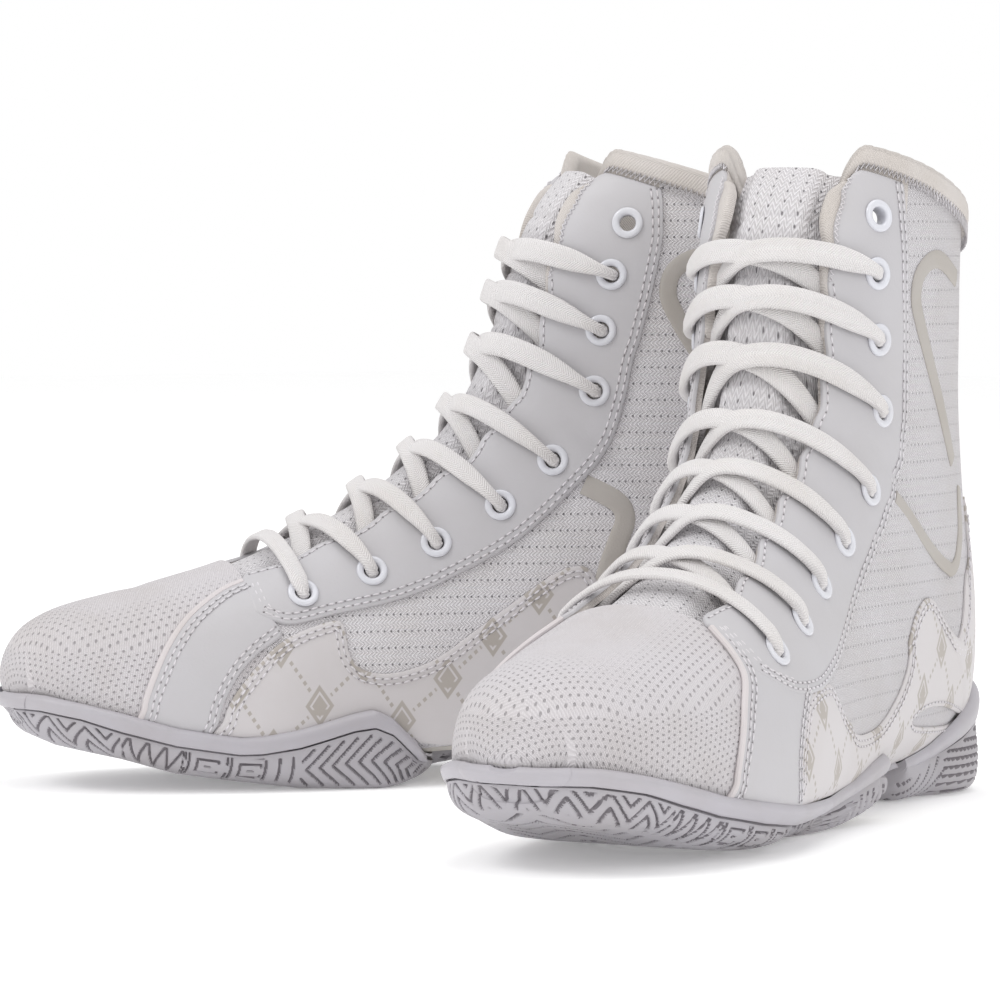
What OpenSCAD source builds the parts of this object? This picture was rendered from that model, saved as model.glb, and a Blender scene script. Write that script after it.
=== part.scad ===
// Pair of high lace-up boxing boots: separate sole units, panels, eyelets, laces.

/* [Placement] */
// toe-out turn of the wearer's left boot, degrees
left_turn = 21.9; // [10:0.1:30]
// toe-out turn of the wearer's right boot, degrees
right_turn = -24.4; // [-30:0.1:-10]
// sideways place of the left boot's middle
left_x = 79; // [60:0.5:110]
// sideways place of the right boot's middle
right_x = -80.6; // [-110:0.5:-60]
// fore and aft place of the left boot's middle
left_y = -1.5; // [-30:0.5:30]
// fore and aft place of the right boot's middle
right_y = 29; // [-30:0.5:50]
// row shift that puts the origin under the middle of the pair, x
shift_x = 2.9; // [-30:0.1:30]
// row shift that puts the origin under the middle of the pair, y
shift_y = -10.2; // [-40:0.1:40]

/* [Upper] */
// thickness of the mesh panels with their backing
shell_t = 1.8; // [1:0.1:3]
// thickness of the leather laid over the mesh
leather_t = 1.1; // [0.6:0.1:2]
// height of the eyestay face above the mesh
stay_t = 1.4; // [0.8:0.1:2]
// thickness of the welded film stripes
film_t = 0.5; // [0.3:0.1:1]
// thickness of the padded collar lining
lining_t = 3; // [1.5:0.1:5]
// thickness of the tongue
tongue_t = 3; // [2:0.1:6]
// radius of the rolled collar edge
roll_r = 2.6; // [1.5:0.1:4]

/* [Eyelets and lace] */
// radius of the hole through an eyelet
hole_r = 2.6; // [1.8:0.1:3]
// outer radius of an eyelet's barrel
barrel_r = 3.2; // [2.6:0.1:4]
// outer radius of an eyelet's flange
flange_r = 5; // [4:0.1:7]
// half width of the lace where it lies flat
lace_w = 3.4; // [2:0.1:5]
// half thickness of the lace where it lies flat
lace_h = 0.9; // [0.5:0.1:1.5]
// radius of the lace where it bunches in a hole
lace_r = 1.7; // [1:0.1:2.2]

/* [Sole] */
// thickness of the rubber at the side wall
side_t = 3.6; // [2:0.1:6]
// thickness of the smooth band layer behind the tread
band_t = 2.2; // [1:0.1:4]
// thickness of the lasting board
board_t = 2; // [1:0.1:3]
// thickness of the loose sockliner
sock_t = 3.6; // [2:0.1:6]
// gap left between pieces that are laid on one another
lay = 0.15; // [0.05:0.01:0.5]

/* [Hidden] */
$fn = 24;

// Stations of the last, toe to collar. Each is a closed slanted ring from a front point to a back
// or bottom point: front forward, front height, back forward, back height, lateral half width,
// medial half width, front and back sideways place, share of the way at which the ring is widest,
// roundness of the front half and of the back half. Forward is measured from the heel.
ST = [
[291,38, 290,30,  5,  5,-4,-4, .55,2.0,2.2],
[288,48, 286,26, 18, 17,-4,-4, .60,2.2,2.6],
[277,55, 275,21, 30, 29,-3,-3, .68,2.3,3.2],
[258,60, 256,16, 37, 37,-1,-1, .72,2.3,3.6],
[238,65, 234,11, 41, 41, 0, 1, .74,2.3,3.8],
[218,71, 208, 8, 43, 41, 1, 3, .74,2.2,4.0],
[197,80, 180, 8, 42, 38, 2, 3, .74,2.1,4.0],
[178,90, 152, 9, 40, 35, 1, 2, .73,2.0,3.8],
[163,101,122,10, 38, 33, 0, 1, .70,2.0,3.6],
[150,112, 88,11, 37, 34, 0, 0, .64,2.0,3.4],
[141,125, 50,12, 37, 35, 0, 0, .60,2.1,3.2],
[135,139, 14,16, 37, 35,-1,-1, .58,2.2,2.8],
[131,152,  1,40, 36, 35,-1,-1, .55,2.2,2.4],
[127,164,  4,72, 35, 35,-1,-1, .50,2.2,2.2],
[122,177, 11,108,35, 35,-1,-1, .48,2.2,2.1],
[114,190, 15,142,36, 36,-1,-1, .48,2.2,2.1],
[104,200, 18,176,36, 36,-1,-1, .48,2.2,2.2]];

function cr(u) = let(x = min(max(u, 0), 16), i = min(floor(x), 15), t = x - i,
  p0 = ST[max(i-1, 0)], p1 = ST[i], p2 = ST[i+1], p3 = ST[min(i+2, 16)])
  0.5*(2*p1 + (p2-p0)*t + (2*p0 - 5*p1 + 4*p2 - p3)*t*t + (3*p1 - p0 - 3*p2 + p3)*t*t*t);
function sgn(x) = x < 0 ? -1 : 1;
// point of the last's surface: u runs along the stations, th turns from the front ridge
// (0) over the lateral side (90) to the bottom or back (180) and the medial side (270)
function ring(u, th) = let(c = cr(u), cs = cos(th), sn = sin(th), f = cs >= 0,
  e = 2/(f ? c[9] : c[10]), k = pow(abs(cs), e), s = f ? c[8]*(1-k) : c[8] + (1-c[8])*k,
  w = sn >= 0 ? c[4] : c[5])
  [sgn(sn)*w*pow(abs(sn), e) + c[6] + (c[7]-c[6])*s, 145 - c[0] - (c[2]-c[0])*s, c[1] + (c[3]-c[1])*s];
tip = [-4, -148, 34];
mid1 = [-4, -142, 37];
function S(u, th) = u >= 1 ? ring(u, th) :
  mid1 + (ring(1, th) - mid1)*sin(60*u)/sin(60) + (tip - mid1)*(cos(60*u) - 0.5)/0.5;
function unit(a) = a/norm(a);
function nrm(u, th) = let(du = u > 15.9 ? -0.1 : 0.1,
  a = S(u + du, th) - S(u, th), b = S(u, th + 3) - S(u, th - 3), n = cross(a, b)) unit(du < 0 ? n : -n);
function O(u, th, o) = S(u, th) + nrm(u, th)*o;

// closed solid from two grids of points, outer and inner
module skin(A, B) {
  m = len(A) - 1; n = len(A[0]) - 1; w = n + 1; k = (m+1)*w;
  polyhedron(points = concat([for (r = A) for (p = r) p], [for (r = B) for (p = r) p]),
    faces = concat(
      [for (i = [0:m-1]) for (j = [0:n-1]) each [[i*w+j+1, i*w+j, (i+1)*w+j+1], [(i+1)*w+j+1, i*w+j, (i+1)*w+j]]],
      [for (i = [0:m-1]) for (j = [0:n-1]) each [[k+i*w+j, k+i*w+j+1, k+(i+1)*w+j+1], [k+i*w+j, k+(i+1)*w+j+1, k+(i+1)*w+j]]],
      [for (i = [0:m-1]) each [[(i+1)*w, i*w, k+(i+1)*w], [k+(i+1)*w, i*w, k+i*w]]],
      [for (i = [0:m-1]) each [[i*w+n, (i+1)*w+n, k+i*w+n], [k+i*w+n, (i+1)*w+n, k+(i+1)*w+n]]],
      [for (j = [0:n-1]) each [[j, j+1, k+j], [k+j, j+1, k+j+1]]],
      [for (j = [0:n-1]) each [[m*w+j+1, m*w+j, k+m*w+j+1], [k+m*w+j+1, m*w+j, k+m*w+j]]]));
}
// panel between two edge lines given as [u, th] points, laid from offset lo to offset hi
function line(L, s) = let(n = len(L)-1, x = min(max(s, 0), 1)*n, i = min(floor(x), n-1), t = x-i,
  p0 = L[max(i-1, 0)], p1 = L[i], p2 = L[i+1], p3 = L[min(i+2, n)])
  0.5*(2*p1 + (p2-p0)*t + (2*p0 - 5*p1 + 4*p2 - p3)*t*t + (3*p1 - p0 - 3*p2 + p3)*t*t*t);
function grid(E, F, m, n, o) = [for (i = [0:m]) [for (j = [0:n])
  let(a = line(E, i/m), b = line(F, i/m), q = a + (b-a)*j/n) O(q[0], q[1], o)]];
module panel(E, F, m, n, lo, hi) skin(grid(E, F, m, n, hi), grid(E, F, m, n, lo));
// the same panel on the medial side: angles turned over, edges swapped to keep it facing out
function flip(L) = [for (q = L) [q[0], 360 - q[1]]];
module side_panel(E, F, m, n, lo, hi, medial) {
  if (medial) panel(flip(F), flip(E), m, n, lo, hi);
  else panel(E, F, m, n, lo, hi);
}

// heights of the rubber's upper edge along the boot, forward from the heel
rim_lat = [[-20,40],[0,38],[17,34],[40,25],[60,16],[85,9],[104,11],[118,20],[139,14],[169,11],[202,13],[222,16],[245,20],[262,25],[274,28],[285,30.5],[300,30.5]];
rim_med = [[-20,40],[0,38],[17,34],[40,25],[60,16],[85,9],[150,9],[166,13],[176,21],[186,24.5],[204,21],[218,18],[225,17],[245,20],[262,25],[274,28],[285,30.5],[300,30.5]];
// the same for the seam between the smooth band and the tread
seam_lat = [[-20,30],[0,28],[17,24],[40,17],[60,10],[85,6],[104,7],[118,13],[139,8],[169,6],[202,7.5],[222,10],[245,14.5],[262,19],[274,23],[285,25.5],[300,26]];
seam_med = [[-20,30],[0,28],[17,24],[40,17],[60,10],[85,6],[150,6],[166,8.5],[176,15],[186,18.5],[204,14.5],[218,12],[225,11.7],[245,14.5],[262,19],[274,23],[285,25.5],[300,26]];
// ground profile under the tread
foot = [[-20,6],[0,5],[14,0],[96,0],[106,3],[118,0],[203,0],[224,2.4],[242,5],[258,9.5],[278,14],[287,18],[291,21],[294,24]];
function fwd(p) = 145 - p[1];
function drop(u, th, T) = let(p = O(u, th, side_t)) p[2] - lookup(fwd(p), T);
function find_th(u, md, T, a, b, k) = k == 0 ? (a+b)/2 : let(c = (a+b)/2)
  drop(u, md ? 360-c : c, T) > 0 ? find_th(u, md, T, c, b, k-1) : find_th(u, md, T, a, c, k-1);
function rim_th(u, md) = find_th(u, md, md ? rim_med : rim_lat, 60, 178, 11);
function seam_th(u, md) = find_th(u, md, md ? seam_med : seam_lat, 60, 178, 11);
function ease(x) = let(t = min(max(x, 0), 1)) t*t*(3-2*t);

// point of the smooth band, kept off the ground
function wide(u, th, o) = let(p = O(u, th, o)) [p[0], p[1], max(p[2], lookup(fwd(p), foot) + 1.9)];
// outer face of the rubber: side thickness at the seam, let down to the ground underneath
function tread(u, th, edge) = let(q = O(u, th, side_t), g = lookup(fwd(q), foot),
  k = edge ? 0 : ease((-nrm(u, th)[2] - 0.25)/0.4)) [q[0], q[1], max(q[2]*(1-k) + g*k, g)];
function bed(u, th) = let(p = O(u, th, band_t + 0.9)) [p[0], p[1], max(p[2], lookup(fwd(p), foot) + 1.4)];
function inner(u, th, r) = let(h = 180 - abs(180 - th)) 0.9 + (leather_t - 0.1)*(1 - ease((h - r - 12)/8));

// forefoot unit: where it stops, by angle
stop_fore = [[90,9.35],[120,9.3],[150,8.9],[180,7.7],[210,7.1],[240,6.75],[270,6.7]];
function uf(th, s, u0) = u0 + (lookup(th, stop_fore) - u0)*s;
fs = [0,0.025,0.06,0.12,0.2,0.3,0.4,0.5,0.6,0.69,0.78,0.87,0.94,1];
// share of the way across of place j, with a close first and last step
function across(j, n, a, b) = let(d = min(4, (b - a)*0.15)) j == 0 ? a : j == n ? b : a + d + (b - a - 2*d)*(j-1)/(n-2);
// the same with steps close on both sides of the seams at s and t
function across_seam(j, n, a, s, t, b) = j == 0 ? a : j == 1 ? max(a + 1, s - 0.8) : j == 2 ? max(a + 2, s + 2.2)
  : j == n ? b : j == n-1 ? min(b - 1, t + 0.8) : j == n-2 ? min(b - 2, t - 2.2) : s + 2.2 + (t - s - 4.4)*(j-2)/(n-4);
// one row of [u, th, lateral edge, medial edge, seam] places across the unit
function row_fore(s, n, d, seam, u0) = [for (j = [0:n]) let(g = 135 + 90*j/n, u = uf(g, s, u0),
  sa = min(seam_th(u, false), 147), sb = min(seam_th(u, true), 147),
  a = min(seam ? sa : rim_th(u, false), 145) + d, b = 360 - min(seam ? sb : rim_th(u, true), 145) - d,
  th = seam ? across(j, n, a, b) : across_seam(j, n, a, sa, 360 - sb, b)) [uf(th, s, u0), th, a, 360 - b, th > 180 ? sb : sa]];
module left_form_band_fore() {
  R = [for (s = fs) row_fore(s, 14, 0, false, 0.35)];
  skin([for (r = R) [for (q = r) let(h = 180 - abs(180 - q[1]), e = min(abs(h - q[2]), abs(h - q[3])),
         k = ease((h - q[4] + 1)/3)) wide(q[0], q[1], band_t + (side_t + 0.3 - band_t)*(1 - k)*(e < 0.5 ? 0.7 : 1))]],
       [for (r = R) [for (q = r) O(q[0], q[1], inner(q[0], q[1], min(q[2], q[3])))]]);
}
module left_form_tread_fore() {
  R = [for (s = fs) row_fore(s, 12, 3.2, true, 0.72)];
  skin([for (r = R) [for (j = [0:12]) tread(r[j][0], r[j][1], j == 0 || j == 12)]],
       [for (r = R) [for (q = r) bed(q[0], q[1])]]);
}
// heel unit
hs = [0,0.1,0.22,0.35,0.48,0.6,0.7,0.79,0.87,0.94,1];
function row_heel(s, n, d, seam, top) = let(u = 9.5 + (top - 9.5)*s,
  a = min((seam ? seam_th(u, false) : rim_th(u, false)) + d, 178), b = max(360 - (seam ? seam_th(u, true) : rim_th(u, true)) - d, 182))
  [for (j = [0:n]) [u, across(j, n, a, b), a, b]];
module left_form_band_heel() {
  R = [for (s = hs) row_heel(s, 14, 0, false, 11.95)];
  skin([for (r = R) [for (q = r) wide(q[0], q[1], band_t)]],
       [for (r = R) [for (q = r) O(q[0], q[1], inner(q[0], q[1], min(q[2], q[3])))]]);
}
module left_form_tread_heel() {
  R = [for (s = hs) row_heel(s, 12, 2.5, true, 11.62)];
  skin([for (r = R) [for (j = [0:12]) tread(r[j][0], r[j][1], j == 0 || j == 12)]],
       [for (r = R) [for (q = r) bed(q[0], q[1])]]);
}
module left_form_shank() {
  E = [[8.98,148],[8.6,163],[7.9,180],[7.45,197],[7.2,212]];
  F = [[9.35,148],[9.35,163],[9.35,180],[9.35,197],[9.35,212]];
  skin([for (j = [0:3]) [for (i = [0:6]) let(a = line(E, i/6), b = line(F, i/6), q = a + (b-a)*j/3) O(q[0], q[1], 2.6)]],
       [for (j = [0:3]) [for (i = [0:6]) let(a = line(E, i/6), b = line(F, i/6), q = a + (b-a)*j/3) O(q[0], q[1], lay)]]);
}
// feather edge: where the upper turns under the board
feather = [[0,150],[0.5,138],[9,138],[10,146],[10.6,158],[11.2,176],[12,180],[16,180]];
module left_form_board() {
  us = [0.25,0.6,1,1.5,2,3,4,5,6,7,8,9,9.8,10.4,10.9,11.2];
  R = [for (u = us) [for (j = [0:5]) let(f = lookup(u, feather) + 1.5) [u, f + (360 - 2*f)*j/5]]];
  skin([for (r = R) [for (q = r) O(q[0], q[1], 0)]], [for (r = R) [for (q = r) O(q[0], q[1], -board_t)]]);
}
module left_form_sock() {
  us = [1,1.4,2,3,4,5,6,7,8,9,9.8,10.3,10.6,10.8];
  R = [for (u = us) [for (j = [0:5]) let(f = u < 9.8 ? 150 : 150 + 22*(u - 9.8)) [u, f + (360 - 2*f)*j/5]]];
  skin([for (r = R) [for (q = r) O(q[0], q[1], -board_t - 1)]], [for (r = R) [for (q = r) O(q[0], q[1], -board_t - 1 - sock_t)]]);
}
module left_form_puff() {
  us = [0.5,1,1.6,2.3];
  R = [for (u = us) [for (j = [0:10]) [u, -95 + 19*j]]];
  skin([for (r = R) [for (q = r) O(q[0], q[1], -shell_t - 0.4)]], [for (r = R) [for (q = r) O(q[0], q[1], -shell_t - 1.1)]]);
}
module left_form_stiffener() {
  R = [for (i = [10:13]) concat([for (j = [4:8]) [us_q[i], th_q(us_q[i], j)]], [for (j = [7:-1:4]) [us_q[i], 360 - th_q(us_q[i], j)]])];
  skin([for (r = R) [for (q = r) O(q[0], q[1], -shell_t - 0.3)]], [for (r = R) [for (q = r) O(q[0], q[1], -shell_t - 1)]]);
}
module left_form_vamp() {
  us = [0.04,0.25,0.5,0.75,1,1.5,2,2.5,3,3.5,4,4.5,4.85];
  R = [for (u = us) [for (j = [0:12]) let(f = lookup(u, feather)) [u, -f + 2*f*j/12]]];
  skin([for (r = R) [for (q = r) O(q[0], q[1], 0)]], [for (r = R) [for (q = r) O(q[0], q[1], -shell_t)]]);
}
// leather strips from the foot of the throat down each side to the rubber
strip_lat = [[[4.8,28],[4.75,40],[4.68,51],[4.25,66],[3.95,84],[3.7,100],[3.65,118]],
  [[4.87,29],[4.87,45],[4.88,56],[5.0,66],[5.1,76],[5.15,90],[5.2,118]]];
strip_med = [[[4.8,29],[4.45,33],[3.95,46],[3.5,65],[3.2,83],[3.05,95],[3.05,118]],
  [[4.87,30],[4.87,45],[4.86,57],[4.55,73],[4.25,84],[4.05,97],[4.05,118]]];
module left_form_stay_front() {
  for (md = [false, true]) let(K = md ? strip_med : strip_lat, m = 10, n = 2,
    A = [for (j = [0:n]) [for (i = [0:m]) let(a = line(K[0], i/m), b = line(K[1], i/m), q = a + (b-a)*j/n) [q[0], min(q[1], rim_th(q[0], md) + 2)]]],
    Q = md ? [for (r = A) [for (i = [m:-1:0]) [r[i][0], 360 - r[i][1]]]] : A)
    skin([for (r = Q) [for (q = r) O(q[0], q[1], leather_t + 0.4)]], [for (r = Q) [for (q = r) O(q[0], q[1], 0.4)]]);
}
// eyelet places: station and angle, lateral then medial
EY = [[5.6,53,47],[6.65,53,48],[7.75,53,49],[8.95,54,50],[10.15,55,51],[11.7,55,52],[12.85,54,53],[13.9,52,55],[14.85,48,55]];
stay_in = [[5,27],[6,28],[8,29],[10,31],[12,31],[14,31],[15,29],[16,29]];
stay_out = [[5,56],[6,58],[7,60],[8,62],[9,61],[10,60],[11,60],[12,62],[13,66],[14,68],[15,66],[16,62]];
function ey(i, md) = [EY[i][0], md ? 360 - EY[i][2] : EY[i][1]];
module at(u, th, o) {
  p = O(u, th, o); n = nrm(u, th); x = unit(cross([0, 0, 1], n)); y = cross(n, x);
  multmatrix([[x[0], y[0], n[0], p[0]], [x[1], y[1], n[1], p[1]], [x[2], y[2], n[2], p[2]], [0, 0, 0, 1]]) children();
}
module left_form_eyestay(md) {
  us = [4.9,5.5,6.25,7,7.75,8.5,9.25,10,10.5,11,11.5,12,12.5,13.2,14,14.8,15.5,15.9];
  R = [for (u = us) [for (j = [0:4]) let(a = lookup(u, stay_in), b = lookup(u, stay_out) - 0.3, t = a + (b - a)*j/4) [u, t]]];
  Q = md ? [for (r = R) [for (j = [4:-1:0]) [r[j][0], 360 - r[j][1]]]] : R;
  difference() {
    skin([for (r = Q) [for (q = r) O(q[0], q[1], stay_t)]], [for (r = Q) [for (q = r) O(q[0], q[1], -shell_t)]]);
    for (i = [0:8]) at(ey(i, md)[0], ey(i, md)[1], 0) cylinder(h = 12, r = barrel_r + 0.05, center = true, $fn = 12);
  }
}
// rows and columns shared by the quarters and what is laid on or in them at the heel
us_q = [4.9,5.5,6.25,7,7.75,8.5,9.25,10,10.5,11,11.5,12,12.5,13.2,14,14.8,15.5,15.9];
function th_q(u, j) = let(a = lookup(u, stay_out) + 0.3, b = lookup(u, feather) - 0.2) a + (b - a)*j/8;
module left_form_quarter(md) {
  R = [for (u = us_q) [for (j = [0:8]) [u, th_q(u, j)]]];
  Q = md ? [for (r = R) [for (j = [8:-1:0]) [r[j][0], 360 - r[j][1]]]] : R;
  skin([for (r = Q) [for (q = r) O(q[0], q[1], 0)]], [for (r = Q) [for (q = r) O(q[0], q[1], -shell_t)]]);
}
// printed leather low on the side, from the front strip to the heel
saddle_lat = [[[5.35,84],[5.6,76],[6.0,73],[6.6,72],[7.0,78],[7.2,86],[7.8,95],[8.4,98],[9.0,94],[9.5,89],[10.4,96]],
  [[5.32,112],[5.6,112],[6.0,112],[6.5,111],[7.0,118],[7.3,126],[7.9,134],[8.5,133],[9.1,134],[9.6,136],[10.4,143]]];
saddle_med = [[[4.25,88],[4.7,75],[5.2,65],[5.7,61.5],[6.0,64],[6.1,76],[6.4,82],[7.0,81],[7.9,76],[8.8,74],[9.35,83],[9.8,93],[10.4,101]],
  [[4.12,104],[4.6,110],[5.1,112],[5.6,112],[5.9,112],[6.1,112],[6.4,110],[7.1,120],[7.9,132],[8.8,132],[9.4,135],[9.8,138],[10.4,143]]];
module left_form_saddle(md) {
  m = 17; n = 3; K = md ? saddle_med : saddle_lat;
  A = [for (i = [0:m]) [for (j = [0:n]) let(a = line(K[0], i/m), b = line(K[1], i/m),
     bb = [b[0], max(a[1] + 4, min(b[1], rim_th(b[0], md) + 2))]) a + (bb - a)*j/n]];
  Q = md ? [for (r = A) [for (j = [n:-1:0]) [r[j][0], 360 - r[j][1]]]] : A;
  skin([for (r = Q) [for (q = r) O(q[0], q[1], leather_t + 0.4)]], [for (r = Q) [for (q = r) O(q[0], q[1], 0.4)]]);
}
module left_form_counter() {
  for (md = [false, true]) let(
    R = [for (i = [8:13]) let(u = us_q[i]) [for (j = [3:8]) [u, min(u > 11.9 ? 180 : th_q(u, j), u > 11.9 ? th_q(u, j) + (j == 8 ? 0.2 : 0) : rim_th(u, md) + 2 - (8 - j)*0.5)]]],
    Q = md ? [for (r = R) [for (j = [5:-1:0]) [r[j][0], 360 - r[j][1]]]] : R)
    skin([for (r = Q) [for (q = r) O(q[0], q[1], leather_t + 0.6)]], [for (r = Q) [for (q = r) O(q[0], q[1], 0.6)]]);
}
module left_form_backstay() {
  L = [[12.3,12],[13,11.5],[13.6,11],[14,10.5],[14.25,8.5],[14.4,4]];
  A = [for (i = [0:10]) [for (j = [0:4]) let(q = line(L, i/10)) [q[0], 180 + q[1]*(j/2 - 1)]]];
  function lo(u) = u < 13.25 ? leather_t + 0.9   : leather_t + 0.9 - (leather_t + 0.4)*ease((u - 13.25)/0.4);
  skin([for (r = A) [for (q = r) O(q[0], q[1], lo(q[0]) + 0.9)]], [for (r = A) [for (q = r) O(q[0], q[1], lo(q[0]))]]);
}
// welded stripes on the quarter, each a centre line of stations and angles
film_arch = [[15.05,102],[15.0,92],[14.85,83],[14.45,75.5],[14.05,76],[13.75,82],[13.45,88],[13.15,94],[12.95,99]];
film_vee = [[10.75,66],[10.95,76],[11.1,84],[11.35,90],[11.75,94.5],[12.25,99],[12.8,106]];
film_hook = [[10.3,62.5],[10.35,67],[10.15,72],[9.9,76.5],[9.65,80]];
module stripe(L, w) {
  n = len(L) - 1;
  P = [for (q = L) O(q[0], q[1], 0)];
  N = [for (q = L) nrm(q[0], q[1])];
  G = [for (i = [0:n]) unit(cross(P[min(i+1, n)] - P[max(i-1, 0)], N[i]))];
  skin([for (i = [0:n]) [for (k = [-1, 1]) P[i] + G[i]*w*k + N[i]*(2*lay + film_t)]],
       [for (i = [0:n]) [for (k = [-1, 1]) P[i] + G[i]*w*k + N[i]*2*lay]]);
}
module left_form_film() {
  stripe(film_arch, 2.7);
  stripe(film_vee, 1.8);
  stripe(flip(film_arch), 2.7);
  stripe(flip(film_hook), 3);
}
// tube along points P with a round section, sides k
module tube(P, r, k) {
  n = len(P) - 1;
  T = [for (i = [0:n]) unit(P[min(i+1, n)] - P[max(i-1, 0)])];
  R = [for (i = [0:n]) let(s = unit(cross(T[i], [0.02, 0.01, 1])), q = cross(s, T[i]))
    [for (j = [0:k-1]) P[i] + r*(cos(360*j/k)*s + sin(360*j/k)*q)]];
  solid_rings(R);
}
module solid_rings(R) {
  n = len(R) - 1; k = len(R[0]);
  polyhedron(points = [for (r = R) for (p = r) p], faces = concat(
    [for (i = [0:n-1]) for (j = [0:k-1]) let(a = i*k + j, b = i*k + (j+1)%k) each [[a, b, b + k], [a, b + k, a + k]]],
    [[for (j = [k-1:-1:0]) j]], [[for (j = [0:k-1]) n*k + j]]));
}
module left_form_binding() {
  P = [for (i = [0:26]) let(th = 31 + (360 - 62)*i/26) O(15.9, th, 0) + [0, 0, roll_r + 0.3] - nrm(15.9, th)*0.9];
  tube(P, roll_r, 6);
}
module left_form_lining() {
  us = [11.8,12.5,13.2,13.9,14.6,15.3,15.85];
  R = [for (u = us) [for (j = [0:12]) let(a = 74 - (u > 15 ? 8 : 0)) [u, a + (360 - 2*a)*j/12]]];
  skin([for (r = R) [for (q = r) O(q[0], q[1], -shell_t - 1.6)]], [for (r = R) [for (q = r) O(q[0], q[1], -shell_t - 1.6 - lining_t*(q[0] > 12 ? 1 : 0.5))]]);
}
function tongue_o(th) = -5.3 + 3*(1 - ease((abs(th) - 12)/14));
module left_form_tongue() {
  us = [5.05,5.6,6.4,7.2,8,8.8,9.6,10.4,11.2,12,12.8,13.6,14.4,15.1,15.7];
  R = [for (u = us) [for (j = [0:8]) [u, (-39 + 9.75*j)*(u > 15.5 ? 0.8 : 1)]]];
  skin([for (r = R) [for (q = r) O(q[0], q[1], tongue_o(q[1]))]], [for (r = R) [for (q = r) O(q[0], q[1], -5.3 - tongue_t + 1.2)]]);
}
module left_form_eyelets() {
  for (md = [false, true]) for (i = [0:8]) at(ey(i, md)[0], ey(i, md)[1], 0)
    rotate_extrude($fn = 18) polygon([[hole_r, -shell_t - 0.6], [barrel_r - 0.05, -shell_t - 0.6], [barrel_r - 0.05, stay_t + lay], [flange_r, stay_t + lay],
      [flange_r - 0.3, stay_t + lay + 0.7], [flange_r - 1.2, stay_t + lay + 1], [hole_r + 0.6, stay_t + lay + 0.9], [hole_r, stay_t + lay + 0.3]]);
}
// lace: [u, th, offset, half width, half thickness] along one strand from eyelet 1 up
function cross_run(i, md) = let(a = EY[i], b = EY[i+1], s = md ? -1 : 1,
  ta = s*(md ? a[2] : a[1]), tb = -s*(md ? b[1] : b[2]), up = md ? 2.1 : 0, fl = i < 4 ? 0.75 : 1)
  [for (q = [[0.14,-3.2,0.85],[0.34,-0.9,1],[0.5,1.05,1],[0.7,2.6,1],[0.86,3.4,0.95],[0.96,3.5,0.65]])
    [a[0] + (b[0] - a[0])*q[0], ta + (tb - ta)*q[0], q[1] + (q[0] > 0.35 && q[0] < 0.65 ? up : 0), lace_r + (lace_w*fl - lace_r)*(q[2] - 0.6)/0.4, lace_h + (lace_r - lace_h)*(1 - q[2])/0.4]];
function dive(i, md) = let(s = md ? -1 : 1, t = s*(md ? EY[i][2] : EY[i][1]))
  [[EY[i][0], t, 1.4, lace_r, lace_r], [EY[i][0], t, -2.2, lace_r, lace_r]];
function strand(i, md) = i == 7 ? [] : concat(dive(i, md), cross_run(i, md), strand(i + 1, !md));
// free end of the lace, inside the shaft, from the last hole down to its tip
function tail(md) = let(s = md ? -1 : 1) [for (q = [[13.9,54,-3.4],[13.82,55,-5.4],[13.6,58,-7.4],[13.2,62,-8.4],[12.7,66,-8.6],[12.2,70,-8.6],[11.7,74,-8.6],[11.2,78,-8.6],[10.7,81,-8.6],[10.2,84,-8.6],[9.8,86,-8.6]])
  [q[0], s*q[1], q[2], q[2] > -4 ? lace_r : lace_w*0.75, q[2] > -4 ? lace_r : lace_h]];
function bar() = [for (q = [[-0.9,3.4],[-0.8,3.2],[-0.6,2.8],[-0.3,2.6],[0,2.6],[0.3,2.6],[0.6,2.8],[0.8,3.2],[0.9,3.4]])
  [EY[0][0] - 0.02, (q[0] < 0 ? EY[0][2] : EY[0][1])*q[0], q[1], lace_w*0.75, lace_h]];
function rev(L) = [for (i = [len(L)-1:-1:0]) L[i]];
function stub(md) = [[13.9, md ? -54 : 54, -3.4, lace_r, lace_r]];
LACE = concat(stub(false), rev(dive(7, false)), rev(strand(0, true)), bar(), strand(0, false), dive(7, true), stub(true));
module ribbon(L, k = 6) {
  P = [for (q = L) O(q[0], q[1], q[2])];
  N = [for (q = L) nrm(q[0], q[1])];
  n = len(P) - 1;
  T = [for (i = [0:n]) unit(P[min(i+1, n)] - P[max(i-1, 0)])];
  // sideways direction stays square to the surface normal and to the run along the surface
  G = [for (i = [0:n]) let(a = P[max(i-3, 0)], b = P[min(i+3, n)], d = b - a, f = d - (d*N[i])*N[i]) unit(cross(N[i], unit(f)))];
  R = [for (i = [0:n]) let(s = G[i], q = unit(cross(s, T[i])), w = L[i][3], h = L[i][4])
    [for (j = [0:k-1]) P[i] + w*cos(360*j/k)*s + h*sin(360*j/k)*q*1.15]];
  solid_rings(R);
}
module left_form_lace() ribbon(LACE);
module left_form_lace_ends() { ribbon(tail(false), 8); ribbon(tail(true), 8); }
module left_form_aglets() {
  for (md = [false, true]) let(L = tail(md), q = L[len(L)-1], r = L[len(L)-2], p = O(q[0], q[1], q[2]), d = unit(p - O(r[0], r[1], r[2])),
    x = unit(cross(d, [1, 0, 0])), y = cross(d, x))
    multmatrix([[x[0], y[0], d[0], p[0]], [x[1], y[1], d[1], p[1]], [x[2], y[2], d[2], p[2]], [0, 0, 0, 1]]) cylinder(h = 15, r = 1.5);
}

module place_left() translate([left_x + shift_x, left_y + shift_y, 0]) rotate([0, 0, left_turn]) children();
module place_right() translate([right_x + shift_x, right_y + shift_y, 0]) rotate([0, 0, right_turn]) mirror([1, 0, 0]) children();

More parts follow.
